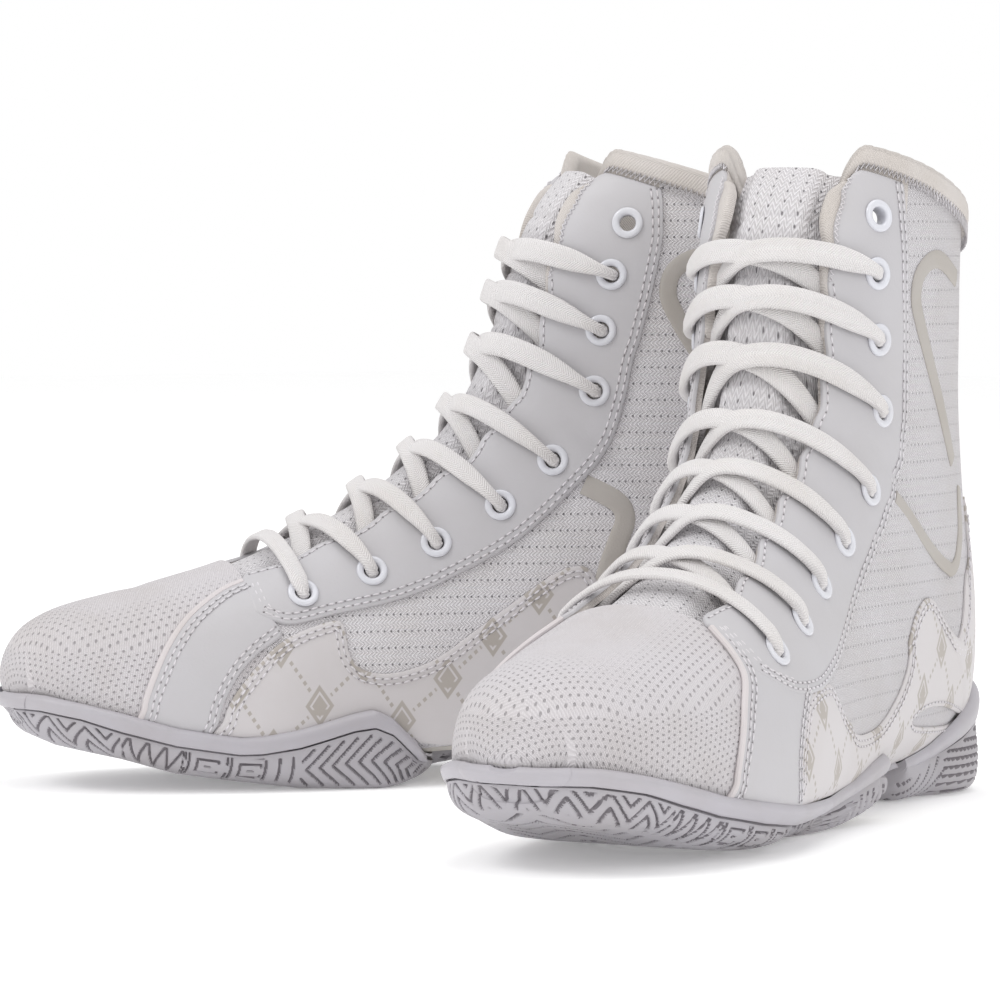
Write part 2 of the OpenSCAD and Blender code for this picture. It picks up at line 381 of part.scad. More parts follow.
rubber = [0.86, 0.86, 0.87]; white = [0.93, 0.93, 0.94]; mesh = [0.9, 0.9, 0.91]; cream = [0.9, 0.89, 0.86];
module left_outsole_fore() color(rubber) place_left() left_form_tread_fore();
module left_midsole_fore() color(white) place_left() left_form_band_fore();
module left_outsole_heel() color(rubber) place_left() left_form_tread_heel();
module left_midsole_heel() color(white) place_left() left_form_band_heel();
module left_shank() color(white) place_left() left_form_shank();
module left_insole_board() color(cream) place_left() left_form_board();
module left_sockliner() color(cream) place_left() left_form_sock();
module left_toe_puff() color(cream) place_left() left_form_puff();
module left_heel_stiffener() color(cream) place_left() left_form_stiffener();
module left_vamp() color(mesh) place_left() left_form_vamp();
module left_vamp_stay() color(white) place_left() left_form_stay_front();
module left_eyestay_lateral() color(white) place_left() left_form_eyestay(false);
module left_eyestay_medial() color(white) place_left() left_form_eyestay(true);
module left_quarter_lateral() color(mesh) place_left() left_form_quarter(false);
module left_quarter_medial() color(mesh) place_left() left_form_quarter(true);
module left_saddle_lateral() color(white) place_left() left_form_saddle(false);
module left_saddle_medial() color(white) place_left() left_form_saddle(true);
module left_heel_counter() color(white) place_left() left_form_counter();
module left_backstay() color(white) place_left() left_form_backstay();
module left_film() color(cream) place_left() left_form_film();
module left_collar_binding() color(cream) place_left() left_form_binding();
module left_collar_lining() color(cream) place_left() left_form_lining();
module left_tongue() color(mesh) place_left() left_form_tongue();
module left_eyelets() color(white) place_left() left_form_eyelets();
module left_lace() color(white) place_left() left_form_lace();
module left_lace_ends() color(white) place_left() left_form_lace_ends();
module left_aglets() color(white) place_left() left_form_aglets();
module right_outsole_fore() color(rubber) place_right() left_form_tread_fore();
module right_midsole_fore() color(white) place_right() left_form_band_fore();
module right_outsole_heel() color(rubber) place_right() left_form_tread_heel();
module right_midsole_heel() color(white) place_right() left_form_band_heel();
module right_shank() color(white) place_right() left_form_shank();
module right_insole_board() color(cream) place_right() left_form_board();
module right_sockliner() color(cream) place_right() left_form_sock();
module right_toe_puff() color(cream) place_right() left_form_puff();
module right_heel_stiffener() color(cream) place_right() left_form_stiffener();
module right_vamp() color(mesh) place_right() left_form_vamp();
module right_vamp_stay() color(white) place_right() left_form_stay_front();
module right_eyestay_lateral() color(white) place_right() left_form_eyestay(false);
module right_eyestay_medial() color(white) place_right() left_form_eyestay(true);
module right_quarter_lateral() color(mesh) place_right() left_form_quarter(false);
module right_quarter_medial() color(mesh) place_right() left_form_quarter(true);
module right_saddle_lateral() color(white) place_right() left_form_saddle(false);
module right_saddle_medial() color(white) place_right() left_form_saddle(true);
module right_heel_counter() color(white) place_right() left_form_counter();
module right_backstay() color(white) place_right() left_form_backstay();
module right_film() color(cream) place_right() left_form_film();
module right_collar_binding() color(cream) place_right() left_form_binding();
module right_collar_lining() color(cream) place_right() left_form_lining();
module right_tongue() color(mesh) place_right() left_form_tongue();
module right_eyelets() color(white) place_right() left_form_eyelets();
module right_lace() color(white) place_right() left_form_lace();
module right_lace_ends() color(white) place_right() left_form_lace_ends();
module right_aglets() color(white) place_right() left_form_aglets();

left_outsole_fore();
left_midsole_fore();
left_outsole_heel();
left_midsole_heel();
left_shank();
left_insole_board();
left_sockliner();
left_toe_puff();
left_heel_stiffener();
left_vamp();
left_vamp_stay();
left_eyestay_lateral();
left_eyestay_medial();
left_quarter_lateral();
left_quarter_medial();
left_saddle_lateral();
left_saddle_medial();
left_heel_counter();
left_backstay();
left_film();
left_collar_binding();
left_collar_lining();
left_tongue();
left_eyelets();
left_lace();
left_lace_ends();
left_aglets();
right_outsole_fore();
right_midsole_fore();
right_outsole_heel();
right_midsole_heel();
right_shank();
right_insole_board();
right_sockliner();
right_toe_puff();
right_heel_stiffener();
right_vamp();
right_vamp_stay();
right_eyestay_lateral();
right_eyestay_medial();
right_quarter_lateral();
right_quarter_medial();
right_saddle_lateral();
right_saddle_medial();
right_heel_counter();
right_backstay();
right_film();
right_collar_binding();
right_collar_lining();
right_tongue();
right_eyelets();
right_lace();
right_lace_ends();
right_aglets();
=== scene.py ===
import math
import bpy
import numpy as np
from mathutils import Matrix, Vector
from mathutils.geometry import delaunay_2d_cdt


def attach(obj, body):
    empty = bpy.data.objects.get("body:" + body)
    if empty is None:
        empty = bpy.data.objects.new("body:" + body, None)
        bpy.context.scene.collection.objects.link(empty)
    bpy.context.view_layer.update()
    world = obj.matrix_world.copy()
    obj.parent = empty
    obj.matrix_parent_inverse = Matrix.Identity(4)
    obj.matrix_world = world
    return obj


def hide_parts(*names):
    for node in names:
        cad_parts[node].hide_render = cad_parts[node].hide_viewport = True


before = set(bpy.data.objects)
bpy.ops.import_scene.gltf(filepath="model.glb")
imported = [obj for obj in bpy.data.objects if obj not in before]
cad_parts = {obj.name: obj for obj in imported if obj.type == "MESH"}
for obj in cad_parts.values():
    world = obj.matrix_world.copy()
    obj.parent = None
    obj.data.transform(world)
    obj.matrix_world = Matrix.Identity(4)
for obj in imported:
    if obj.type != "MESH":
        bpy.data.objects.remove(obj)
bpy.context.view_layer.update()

# ---------------------------------------------------------------- camera and stage
SC = bpy.context.scene
SC.view_settings.view_transform = "Standard"
AZ, EL, ROLL, DIST = math.radians(47.46), math.radians(2.69), math.radians(0.45), 1.52818
TARGET = Vector((0.0158, -0.0422, 0.0995))
back = Vector((math.sin(AZ)*math.cos(EL), -math.cos(AZ)*math.cos(EL), math.sin(EL)))
right = (-back).cross(Vector((0, 0, 1))).normalized()
up = right.cross(-back)
r2 = right*math.cos(ROLL) + up*math.sin(ROLL)
u2 = -right*math.sin(ROLL) + up*math.cos(ROLL)
cam = bpy.data.objects.new("camera", bpy.data.cameras.new("camera"))
SC.collection.objects.link(cam)
M = Matrix((r2, u2, back)).transposed().to_4x4()
M.translation = TARGET + back*DIST
cam.matrix_world = M
cam.data.sensor_width = 36
cam.data.lens = 182.87
cam.data.shift_x, cam.data.shift_y = -0.00721, -0.01616
cam.data.clip_end = 20
SC.camera = cam


def area(name, loc, size, power, aim=(0, 0, 0.1), color=(1, 1, 1)):
    d = bpy.data.lights.new(name, "AREA")
    d.shape, d.size, d.energy, d.color = "DISK", size, power, color
    o = bpy.data.objects.new(name, d)
    SC.collection.objects.link(o)
    o.location = loc
    o.rotation_euler = (Vector(aim) - Vector(loc)).to_track_quat("-Z", "Y").to_euler()
    return o


# light: a broad soft key from the upper left of the camera, a weak fill, bright surround
area("key", (-0.35, -1.7, 1.9), 1.1, 16)
area("top", (0.3, 0.2, 2.1), 1.6, 10)
area("fill", (1.9, 0.1, 0.9), 1.2, 5)
world = bpy.data.worlds.new("studio")
SC.world = world
world.use_nodes = True
nt = world.node_tree
bg = nt.nodes["Background"]
bg.inputs[0].default_value = (1, 1, 1, 1)
bg.inputs[1].default_value = .8
seen = nt.nodes.new("ShaderNodeBackground")
seen.inputs[0].default_value = (1, 1, 1, 1)
seen.inputs[1].default_value = 1.0
mixw = nt.nodes.new("ShaderNodeMixShader")
lp = nt.nodes.new("ShaderNodeLightPath")
nt.links.new(lp.outputs["Is Camera Ray"], mixw.inputs[0])
nt.links.new(bg.outputs[0], mixw.inputs[1])
nt.links.new(seen.outputs[0], mixw.inputs[2])
nt.links.new(mixw.outputs[0], nt.nodes["World Output"].inputs[0])

# ---------------------------------------------------------------- the last's surface, in millimetres
# One row for each station, from the toe over the instep and up the shaft: place and height of the ridge,
# place and height of the sole or back seam, half widths outside and inside, sideways shift of the ridge and
# of the back, share of the way where the ring is widest, and its roundness before and behind that.
STATIONS = np.array([
[291,38,290,30,5,5,-4,-4,.55,2.0,2.2],[288,48,286,26,18,14.5,-4,-4,.60,2.2,2.6],
[277,55,275,21,30,25,-3,-3,.68,2.3,3.2],
[258,60,256,16,37,33,-1,-1,.72,2.3,3.6],[238,65,234,11,41,38.5,0,1,.74,2.3,3.8],
[218,71,208,8,43,41,1,3,.74,2.2,4.0],
[197,80,180,8,42,38,2,3,.74,2.1,4.0],[178,90,152,9,40,35,1,2,.73,2.0,3.8],
[163,101,122,10,38,33,0,1,.70,2.0,3.6],
[150,112,88,11,37,34,0,0,.64,2.0,3.4],[141,125,50,12,37,35,0,0,.60,2.1,3.2],
[135,139,14,16,37,35,-1,-1,.58,2.2,2.8],
[131,152,1,40,36,35,-1,-1,.55,2.2,2.4],[127,164,4,72,35,35,-1,-1,.50,2.2,2.2],
[122,177,11,108,35,35,-1,-1,.48,2.2,2.1],
[114,190,15,142,36,36,-1,-1,.48,2.2,2.1],[104,200,18,176,36,36,-1,-1,.48,2.2,2.2]], float)
TIP, MID1 = np.array([-4., -148, 34]), np.array([-4., -142, 37])


def station_row(u):
    """The row of numbers at a station, smooth between the rows given."""
    x = np.clip(u, 0, 16)
    i = np.minimum(np.floor(x), 15).astype(int)
    t = (x - i)[..., None]
    p0, p1, p2, p3 = STATIONS[np.maximum(i-1, 0)], STATIONS[i], STATIONS[i+1], STATIONS[np.minimum(i+2, 16)]
    return .5*(2*p1 + (p2-p0)*t + (2*p0-5*p1+4*p2-p3)*t*t + (3*p1-p0-3*p2+p3)*t**3)


def ring(u, th):
    """Point on the ring at station u, at th degrees from the ridge, plus being the outer side."""
    c, a = station_row(u), np.radians(th)
    cs, sn = np.cos(a), np.sin(a)
    f = cs >= 0
    e = 2/np.where(f, c[..., 9], c[..., 10])
    k = np.abs(cs)**e
    s = np.where(f, c[..., 8]*(1-k), c[..., 8] + (1-c[..., 8])*k)
    w = np.where(sn >= 0, c[..., 4], c[..., 5])
    return np.stack([np.sign(sn)*w*np.abs(sn)**e + c[..., 6] + (c[..., 7]-c[..., 6])*s,
                     145 - c[..., 0] - (c[..., 2]-c[..., 0])*s, c[..., 1] + (c[..., 3]-c[..., 1])*s], -1)


def last(u, th):
    """Point on the last; a round cap closes it before station 1."""
    u, th = np.broadcast_arrays(np.asarray(u, float), np.asarray(th, float))
    full = ring(np.maximum(u, 1), th)
    q = np.radians(60*np.clip(u, 0, 1))[..., None]
    cap = MID1 + (full-MID1)*np.sin(q)/math.sin(math.pi/3) + (TIP-MID1)*(np.cos(q)-.5)/.5
    return np.where((u >= 1)[..., None], full, cap)


def unit(a):
    return a/np.maximum(np.linalg.norm(a, axis=-1, keepdims=True), 1e-9)


def outward(u, th):
    """Outward direction there."""
    u, th = np.broadcast_arrays(np.asarray(u, float), np.asarray(th, float))
    du = np.where(u > 15.9, -.1, .1)
    n = np.cross(last(u+du, th) - last(u, th), last(u, th+3) - last(u, th-3))
    return unit(np.where((du < 0)[..., None], n, -n))


def bump(x, c, w):
    return np.exp(-((x-c)/w)**2)


# eyelets from the throat's foot up: station, then the angle outside and inside
EYELETS = [(5.6,53,47),(6.65,53,48),(7.75,53,49),(8.95,54,50),(10.15,55,51),(11.7,55,52),(12.85,54,53),
           (13.9,52,55),(14.85,48,55)]


def field(u, th):
    """Slow swelling and folding of the soft upper, the same for every layer at a place."""
    h = 180 - np.abs(180 - np.mod(th, 360))
    f = 0.28*np.sin(2.1*u + 0.09*th)*bump(h, 95, 55)
    for e, _, _ in EYELETS:
        f = f - 0.35*bump(u, e, .22)*bump(h, 50, 11)
    # ankle folds behind the flex notch, and padding round the collar
    k = u - 10.95 - (h-62)*.008
    f = f + (-1.1*bump(k, 0, .17) + .55*bump(k, .42, .2) + .5*bump(k, -.42, .2))*bump(h, 66, 15)
    k = u - 9.6 - (h-62)*.012
    f = f + (-.6*bump(k, 0, .15) + .3*bump(k, .35, .2))*bump(h, 70, 13)
    f = f + 1.0*bump(u, 14.4, .85)*bump(h, 150, 42)
    # toe box: a light cross crease where the foot bends
    f = f - .45*bump(u - .15*np.cos(np.radians(th)), 3.35, .2)*bump(h, 0, 45)
    f = f + .25*bump(u, 2.6, .5)*bump(h, 0, 60)
    return f*np.clip(u/1.2, 0, 1)*np.clip((140-h)/12, 0, 1)*np.clip((15.8-u)/.3, 0, 1)


def lifted(u, th, o, soft=True):
    """Places o millimetres off the last, with the upper's soft folds or without them."""
    lift = np.asarray(o, float)
    if soft:
        lift = lift + field(np.asarray(u, float), np.asarray(th, float))
    return last(u, th) + outward(u, th)*lift[..., None]


# each boot's place and turn in the pair, and 1 or -1 for the mirrored one
SIDES = {"left": (81.9, -11.7, 21.9, 1), "right": (-77.7, 18.8, -24.4, -1)}


def world_pts(P, side):
    """A boot's own millimetres as metres in the pair's frame."""
    bx, by, t, m = SIDES[side]
    c, s = math.cos(math.radians(t)), math.sin(math.radians(t))
    x, y = P[..., 0]*m, P[..., 1]
    return np.stack([bx + x*c - y*s, by + x*s + y*c, P[..., 2]], -1)/1000

# ---------------------------------------------------------------- mesh tools
def make(name, V, faces, uv=None, mats=(), fm=None, angle=40):
    """Mesh object from world points in metres and faces; uv is one pair per point, in millimetres."""
    me = bpy.data.meshes.new(name)
    faces = [np.asarray(f, np.int32) for f in faces if len(f)]
    loops = np.concatenate([f.ravel() for f in faces])
    size = np.concatenate([np.full(len(f), f.shape[1]) for f in faces])
    me.vertices.add(len(V))
    me.vertices.foreach_set("co", np.asarray(V, np.float32).ravel())
    me.loops.add(len(loops))
    me.loops.foreach_set("vertex_index", loops)
    me.polygons.add(len(size))
    me.polygons.foreach_set("loop_start", np.concatenate([[0], np.cumsum(size)[:-1]]).astype(np.int32))
    if fm is not None:
        me.polygons.foreach_set("material_index", np.asarray(fm, np.int32))
    me.polygons.foreach_set("use_smooth", np.ones(len(size), bool))
    me.update(calc_edges=True)
    if uv is not None:
        me.uv_layers.new(name="mm").data.foreach_set("uv", np.asarray(uv, np.float32)[loops].ravel())
    for m in mats:
        me.materials.append(m)
    if angle:
        me.set_sharp_from_angle(angle=math.radians(angle))
    o = bpy.data.objects.new(name, me)
    SC.collection.objects.link(o)
    return o


def grid_faces(m, n):
    """Quads of one sheet of m by n points, and the quads that join its edge to a second sheet under it."""
    i = np.arange(m*n).reshape(m, n)
    sheet = np.stack([i[:-1, :-1], i[:-1, 1:], i[1:, 1:], i[1:, :-1]], -1).reshape(-1, 4)
    edge = np.concatenate([i[0, :], i[1:, -1], i[-1, -2::-1], i[-2:0:-1, 0]])
    after = np.roll(edge, -1)
    return sheet, np.stack([after, edge, edge+m*n, after+m*n], -1)


def ring_faces(n, k, closed=False):
    """Quads between n rings of k points, the last ring joined to the first if closed."""
    i = np.arange(n*k).reshape(n, k)
    j = np.roll(i, -1, 1)
    if closed:
        return np.stack([i, j, np.roll(j, -1, 0), np.roll(i, -1, 0)], -1).reshape(-1, 4)
    return np.stack([i[:-1], j[:-1], j[1:], i[1:]], -1).reshape(-1, 4)


def against(q, f, n):
    """Whether face f of the points q looks against the direction n."""
    return np.cross(q[f[1]]-q[f[0]], q[f[3]]-q[f[0]]) @ n < 0


def put(name, V, faces, uv=None, mats=(), fm=None, body="boot", nodes=(), slot=None, angle=40):
    """The same piece on both boots: local millimetres for the left boot, mirrored for the right."""
    for side in SIDES:
        F = [np.asarray(f)[:, ::-1] if side == "right" else np.asarray(f) for f in faces if len(f)]
        o = make(side + "_" + name, world_pts(np.asarray(V, float), side), F, uv, mats, fm, angle)
        if nodes:
            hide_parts(*[side + "_" + n for n in nodes])
        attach(o, side + "_" + body)


def gsolid(U, T, top, low, soft=True):
    """Closed shell over a grid of stations U and angles T, between two offsets."""
    A, B = lifted(U, T, top, soft).reshape(-1, 3), lifted(U, T, low, soft).reshape(-1, 3)
    q, side = grid_faces(*U.shape)
    F = np.concatenate([q, q[:, ::-1]+U.size, side])
    f = q[len(q)//2]
    if against(A, f, outward(U.ravel()[f[0]], T.ravel()[f[0]])):
        F = F[:, ::-1]
    fm = np.concatenate([np.zeros(len(q)), np.ones(len(q)), np.zeros(len(side))]).astype(int)
    return np.concatenate([A, B]), F, fm


def metric(u, th):
    """Millimetres on the surface for one station and for one degree."""
    a = np.linalg.norm(last(u+.1, th) - last(u-.1, th))/.2
    b = np.linalg.norm(last(u, th+2) - last(u, th-2))/4
    return np.array([a, b])


def spline(P, step, closed=True):
    """Smooth line through the points P, with a place about every step."""
    n, out = len(P), []
    for i in range(n if closed else n-1):
        g = (lambda k: P[k % n]) if closed else (lambda k: P[min(max(k, 0), n-1)])
        p0, p1, p2, p3 = g(i-1), g(i), g(i+1), g(i+2)
        L = np.linalg.norm(p2-p1)
        if L < 1e-6:
            continue
        t = (np.arange(max(1, round(L/step)))/max(1, round(L/step)))[:, None]
        out.append(.5*(2*p1 + (p2-p0)*t + (2*p0-5*p1+4*p2-p3)*t*t + (3*p1-p0-3*p2+p3)*t**3))
    if not closed:
        out.append(P[-1:])
    return np.concatenate(out)


def disc(u, th, R, n=20):
    """Places round a true circle of radius R about one place."""
    a, b = (last(u+.05, th) - last(u-.05, th))/.1, (last(u, th+1) - last(u, th-1))/2
    e1 = unit(a)
    e2 = unit(b - (b @ e1)*e1)
    J = np.array([[a @ e1, b @ e1], [0, b @ e2]])
    p = np.linspace(0, 2*np.pi, n, endpoint=False)
    return np.array([u, th]) + np.linalg.solve(J, R*np.stack([np.cos(p), np.sin(p)])).T


def inside(P, loop):
    """Which of the points P lie within a loop."""
    a, b = loop, np.roll(loop, -1, 0)
    y = P[:, 1:2]
    hit = (a[:, 1] > y) != (b[:, 1] > y)
    x = a[:, 0] + (y-a[:, 1])*(b[:, 0]-a[:, 0])/np.where(b[:, 1] == a[:, 1], 1e-9, b[:, 1]-a[:, 1])
    return (hit & (P[:, 0:1] < x)).sum(1) % 2 == 1


def gap(P, loops):
    """Distance of each point to the nearest loop."""
    d = np.full(len(P), 1e9)
    for L in loops:
        a, b = L, np.roll(L, -1, 0)
        ab = b-a
        for k in range(0, len(P), 2000):
            q = P[k:k+2000, None]
            t = np.clip(((q-a)*ab).sum(-1)/np.maximum((ab*ab).sum(-1), 1e-12), 0, 1)
            d[k:k+2000] = np.minimum(d[k:k+2000], np.linalg.norm(q-a-t[..., None]*ab, axis=-1).min(1))
    return d


def cut(outline, holes=(), step=2.4, rims=(.3, .8)):
    """A region of the surface cut to an outline with holes: places, triangles, distance to the edge."""
    outline = np.asarray(outline, float)
    K = metric(*outline.mean(0))
    loops = [spline(outline*K, 1.3)] + [np.asarray(h)*K for h in holes]
    pts = list(loops)
    for r in rims:
        for j, L in enumerate(loops):
            t = unit(np.roll(L, -1, 0) - np.roll(L, 1, 0))
            n = np.stack([-t[:, 1], t[:, 0]], -1)
            area = (L[:, 0]*np.roll(L[:, 1], -1) - np.roll(L[:, 0], -1)*L[:, 1]).sum()
            if (area < 0) != (j > 0):
                n = -n
            q = L + n*r
            pts.append(q[gap(q, loops) > r*.93])
    lo, hi = loops[0].min(0), loops[0].max(0)
    gx, gy = np.meshgrid(np.arange(lo[0], hi[0], step), np.arange(lo[1], hi[1], step*.87))
    gx = gx + (np.arange(gx.shape[0]) % 2)[:, None]*step/2
    q = np.stack([gx.ravel(), gy.ravel()], -1)
    q = q[inside(q, loops[0])]
    for h in loops[1:]:
        q = q[~inside(q, h)]
    q = q[gap(q, loops) > (rims[-1] if rims else 0) + step*.5]
    pts.append(q)
    P = np.concatenate(pts)
    E, k = [], 0
    for L in loops:
        E += [(k+i, k+(i+1) % len(L)) for i in range(len(L))]
        k += len(L)
    r = delaunay_2d_cdt([Vector(p) for p in P.tolist()], E, [], 0, 1e-5)
    P2, T = np.array([tuple(v) for v in r[0]]), np.array([f for f in r[2]])
    c = P2[T].mean(1)
    ok = inside(c, loops[0])
    for h in loops[1:]:
        ok &= ~inside(c, h)
    T = T[ok]
    used = np.unique(T)
    m = -np.ones(len(P2), int)
    m[used] = np.arange(len(used))
    P2, T = P2[used], m[T]
    a = P2[T]
    cr_ = (a[:, 1, 0]-a[:, 0, 0])*(a[:, 2, 1]-a[:, 0, 1]) - (a[:, 1, 1]-a[:, 0, 1])*(a[:, 2, 0]-a[:, 0, 0])
    T = T[np.abs(cr_) > 1e-7]
    cr_ = cr_[np.abs(cr_) > 1e-7]
    T[cr_ > 0] = T[cr_ > 0][:, ::-1]          # outward over (station, angle)
    return P2/K, T, gap(P2, loops)


def csolid(piece, hi, lo, r=.8, keep=.5):
    """Closed piece over a cut region, its outer edge rounded over r millimetres."""
    P, T, d = piece
    u, th = P.T
    k = np.clip(1-d/r, 0, 1)
    rise = keep + (1-keep)*np.sqrt(np.clip(1-k*k, 0, 1))
    hi = np.broadcast_to(hi, u.shape)
    lo = np.broadcast_to(lo, u.shape)
    A, B = lifted(u, th, lo + (hi-lo)*rise), lifted(u, th, lo)
    n = len(P)
    E = np.concatenate([T[:, [0, 1]], T[:, [1, 2]], T[:, [2, 0]]])
    key, rev = E[:, 0]*n + E[:, 1], E[:, 1]*n + E[:, 0]
    b = E[~np.isin(key, rev)]
    side = np.stack([b[:, 1], b[:, 0], b[:, 0]+n, b[:, 1]+n], -1)
    return np.concatenate([A, B]), T, T[:, ::-1]+n, side


def merge(parts):
    """Joins parts, each given as points, groups of faces, flat places and a material for each group."""
    V, F3, F4, U, M3, M4, k = [], [], [], [], [], [], 0
    for v, fs, uv, ms in parts:
        V.append(v)
        U.append(uv)
        for f, m in zip(fs, ms):
            if len(f):
                (F3 if f.shape[1] == 3 else F4).append(f+k)
                (M3 if f.shape[1] == 3 else M4).append(np.full(len(f), m))
        k += len(v)
    F = [np.concatenate(x) for x in (F3, F4) if x]
    M = np.concatenate([np.concatenate(x) for x in (M3, M4) if x])
    return np.concatenate(V), F, np.concatenate(U), M


def uv_of(u, th, mode):
    """Millimetres along the surface: round the shaft and up it, or across the toe and back from it."""
    P, N = last(u, th), outward(u, th)
    arc = lambda t, r: r*(np.arcsin(np.clip(t, -1, 1)) - np.clip(t, -1, 1))
    if mode == "side":
        t = N[..., 1]/np.maximum(np.hypot(N[..., 0], N[..., 1]), .05)
        return np.stack([P[..., 1] + arc(t, 35), P[..., 2] + arc(N[..., 2], 40)], -1).reshape(-1, 2)
    dz = np.maximum(44-P[..., 2], 0)
    return np.stack([P[..., 0] + N[..., 0]*dz, P[..., 1] + 148 + N[..., 1]*dz], -1).reshape(-1, 2)


def tube(P, r, k=8, N=None, flat=1.0):
    """Tube along points, its ends capped; with N its section lies flat on that normal."""
    P = np.asarray(P, float)
    n = len(P)
    T = unit(np.gradient(P, axis=0))
    if N is None:
        N = unit(np.cross(T, [0.11, 0.07, 1]))
    s = unit(np.cross(N, T))
    q = np.cross(T, s)
    a = np.linspace(0, 2*np.pi, k, endpoint=False)
    V = P[:, None] + r*(np.cos(a)[None, :, None]*s[:, None] + flat*np.sin(a)[None, :, None]*q[:, None])
    V = np.concatenate([V.reshape(-1, 3), P[:1]-T[:1]*r*.35, P[-1:]+T[-1:]*r*.35])
    i = np.arange(n*k).reshape(n, k)
    c = np.stack([np.roll(i[0], -1), i[0], np.full(k, n*k)], -1)
    d = np.stack([i[-1], np.roll(i[-1], -1), np.full(k, n*k+1)], -1)
    return V, [ring_faces(n, k), np.concatenate([c, d])]


# stitches: short threads in needle holes, all of a body's together
THREAD, HOLE, ZIG = [], [], []
SIX = np.linspace(0, 2*np.pi, 6, endpoint=False)
# a thread's shape: places along it and its thickness there
BEAD = [(-1, .35), (-.6, .95), (0, 1.15), (.6, .95), (1, .35)]


def sew(path, off, pitch=3.0, length=2.1, r=.3, hole=.36, inset=0):
    """Row of stitches along places on the surface at an offset; inset moves it sideways in mm."""
    K = metric(*np.mean(path, 0))
    P = spline(np.asarray(path, float)*K, .8, False)/K
    u, th = P.T
    X, N = lifted(u, th, off), outward(u, th)
    if inset:
        T = unit(np.gradient(X, axis=0))
        X = X + unit(np.cross(T, N))*inset
    L = np.concatenate([[0], np.cumsum(np.linalg.norm(np.diff(X, axis=0), axis=1))])
    k = int(L[-1]/pitch)
    if k < 1:
        return
    at = lambda s: np.stack([np.interp(s, L, X[:, c]) for c in range(3)], -1)
    mid = (np.arange(k)+.5)*L[-1]/k
    C, Tn = at(mid), unit(at(mid+.5) - at(mid-.5))
    Nn = unit(np.stack([np.interp(mid, L, N[:, c]) for c in range(3)], -1))
    B = np.cross(Nn, Tn)
    for p, t, n, b in zip(C, Tn, Nn, B):
        THREAD.append(np.array([p + t*x*length/2 + r*w*(b*math.cos(a) + n*(math.sin(a)*.8 + .12))
                                for x, w in BEAD for a in SIX]))
    # a shallow dimple at each needle hole, coloured with painted shade
    between = np.concatenate([mid-L[-1]/k/2, mid[-1:]+L[-1]/k/2])
    Hn = unit(np.stack([np.interp(between, L, N[:, c]) for c in range(3)], -1))
    for p, n in zip(at(between), Hn):
        e = unit(np.cross(n, [.3, .2, 1]))
        f = np.cross(n, e)
        HOLE.append(np.array([p + n*.05 + hole*(e*math.cos(a) + f*math.sin(a)) for a in SIX] + [p - n*.12]))


def twin(path, off, inset, space=1.7):
    """Two rows side by side, the second further in."""
    sew(path, off, inset=inset)
    sew(path, off, inset=inset + math.copysign(space, inset))


def sided(points, sign):
    """Points given for the outer side, for that side or, with -1, for the inner."""
    return [(a, sign*b) for a, b in points]


def grid(us, n):
    """Grid of the stations us by n places from -1 to 1."""
    return np.meshgrid(us, np.linspace(-1, 1, n), indexing="ij")


def ease(x):
    """From 0 to 1 with a soft start and end."""
    x = np.clip(x, 0, 1)
    return x*x*(3-2*x)


def shell(name, U, T, top, low, mats, slot, mode="side", soft=True, swap=False, **more):
    """A piece that is one grid shell: its outer face in the first material, its inner one in the second."""
    V, F, fm = gsolid(U, T, top, low, soft)
    uv = uv_of(U, T, mode)
    if swap:
        uv = uv[:, ::-1]
    put(name, V, [F], np.concatenate([uv, uv]), mats, fm if len(mats) > 1 else None, nodes=[name],
        slot=slot, **more)


# ---------------------------------------------------------------- materials
class Value:
    """A number in a node tree, with arithmetic."""
    def __init__(s, t, v):
        s.t, s.v = t, v

    def m(s, op, *o):
        n = s.t.nodes.new("ShaderNodeMath")
        n.operation = op
        for i, x in enumerate((s,) + o):
            if isinstance(x, Value):
                s.t.links.new(x.v, n.inputs[i])
            else:
                n.inputs[i].default_value = x
        return Value(s.t, n.outputs[0])
    __add__ = __radd__ = lambda s, o: s.m("ADD", o)
    __mul__ = __rmul__ = lambda s, o: s.m("MULTIPLY", o)
    __sub__ = lambda s, o: s.m("SUBTRACT", o)
    __truediv__ = lambda s, o: s.m("DIVIDE", o)
    fract = lambda s: s.m("FRACT")
    floor = lambda s: s.m("FLOOR")
    abs = lambda s: s.m("ABSOLUTE")
    sqrt = lambda s: s.m("SQRT")
    max = lambda s, o: s.m("MAXIMUM", o)
    tri = lambda s: (s.fract() - .5).abs()*2            # 1 at whole numbers, 0 half way

    def odd(s):
        return (s*.5).fract()*2

    def step(s, a, b):
        n = s.t.nodes.new("ShaderNodeMapRange")
        n.interpolation_type = "SMOOTHSTEP"
        s.t.links.new(s.v, n.inputs["Value"])
        n.inputs["From Min"].default_value, n.inputs["From Max"].default_value = a, b
        return Value(s.t, n.outputs["Result"])


def noise(t, vec, scale, detail=2.0, rough=.55):
    n = t.nodes.new("ShaderNodeTexNoise")
    t.links.new(vec, n.inputs["Vector"])
    for key, v in (("Scale", scale), ("Detail", detail), ("Roughness", rough)):
        n.inputs[key].default_value = v
    return Value(t, n.outputs["Fac"])


def cells(t, vec, scale):
    n = t.nodes.new("ShaderNodeTexVoronoi")
    t.links.new(vec, n.inputs["Vector"])
    n.inputs["Scale"].default_value = scale
    return Value(t, n.outputs["Distance"])


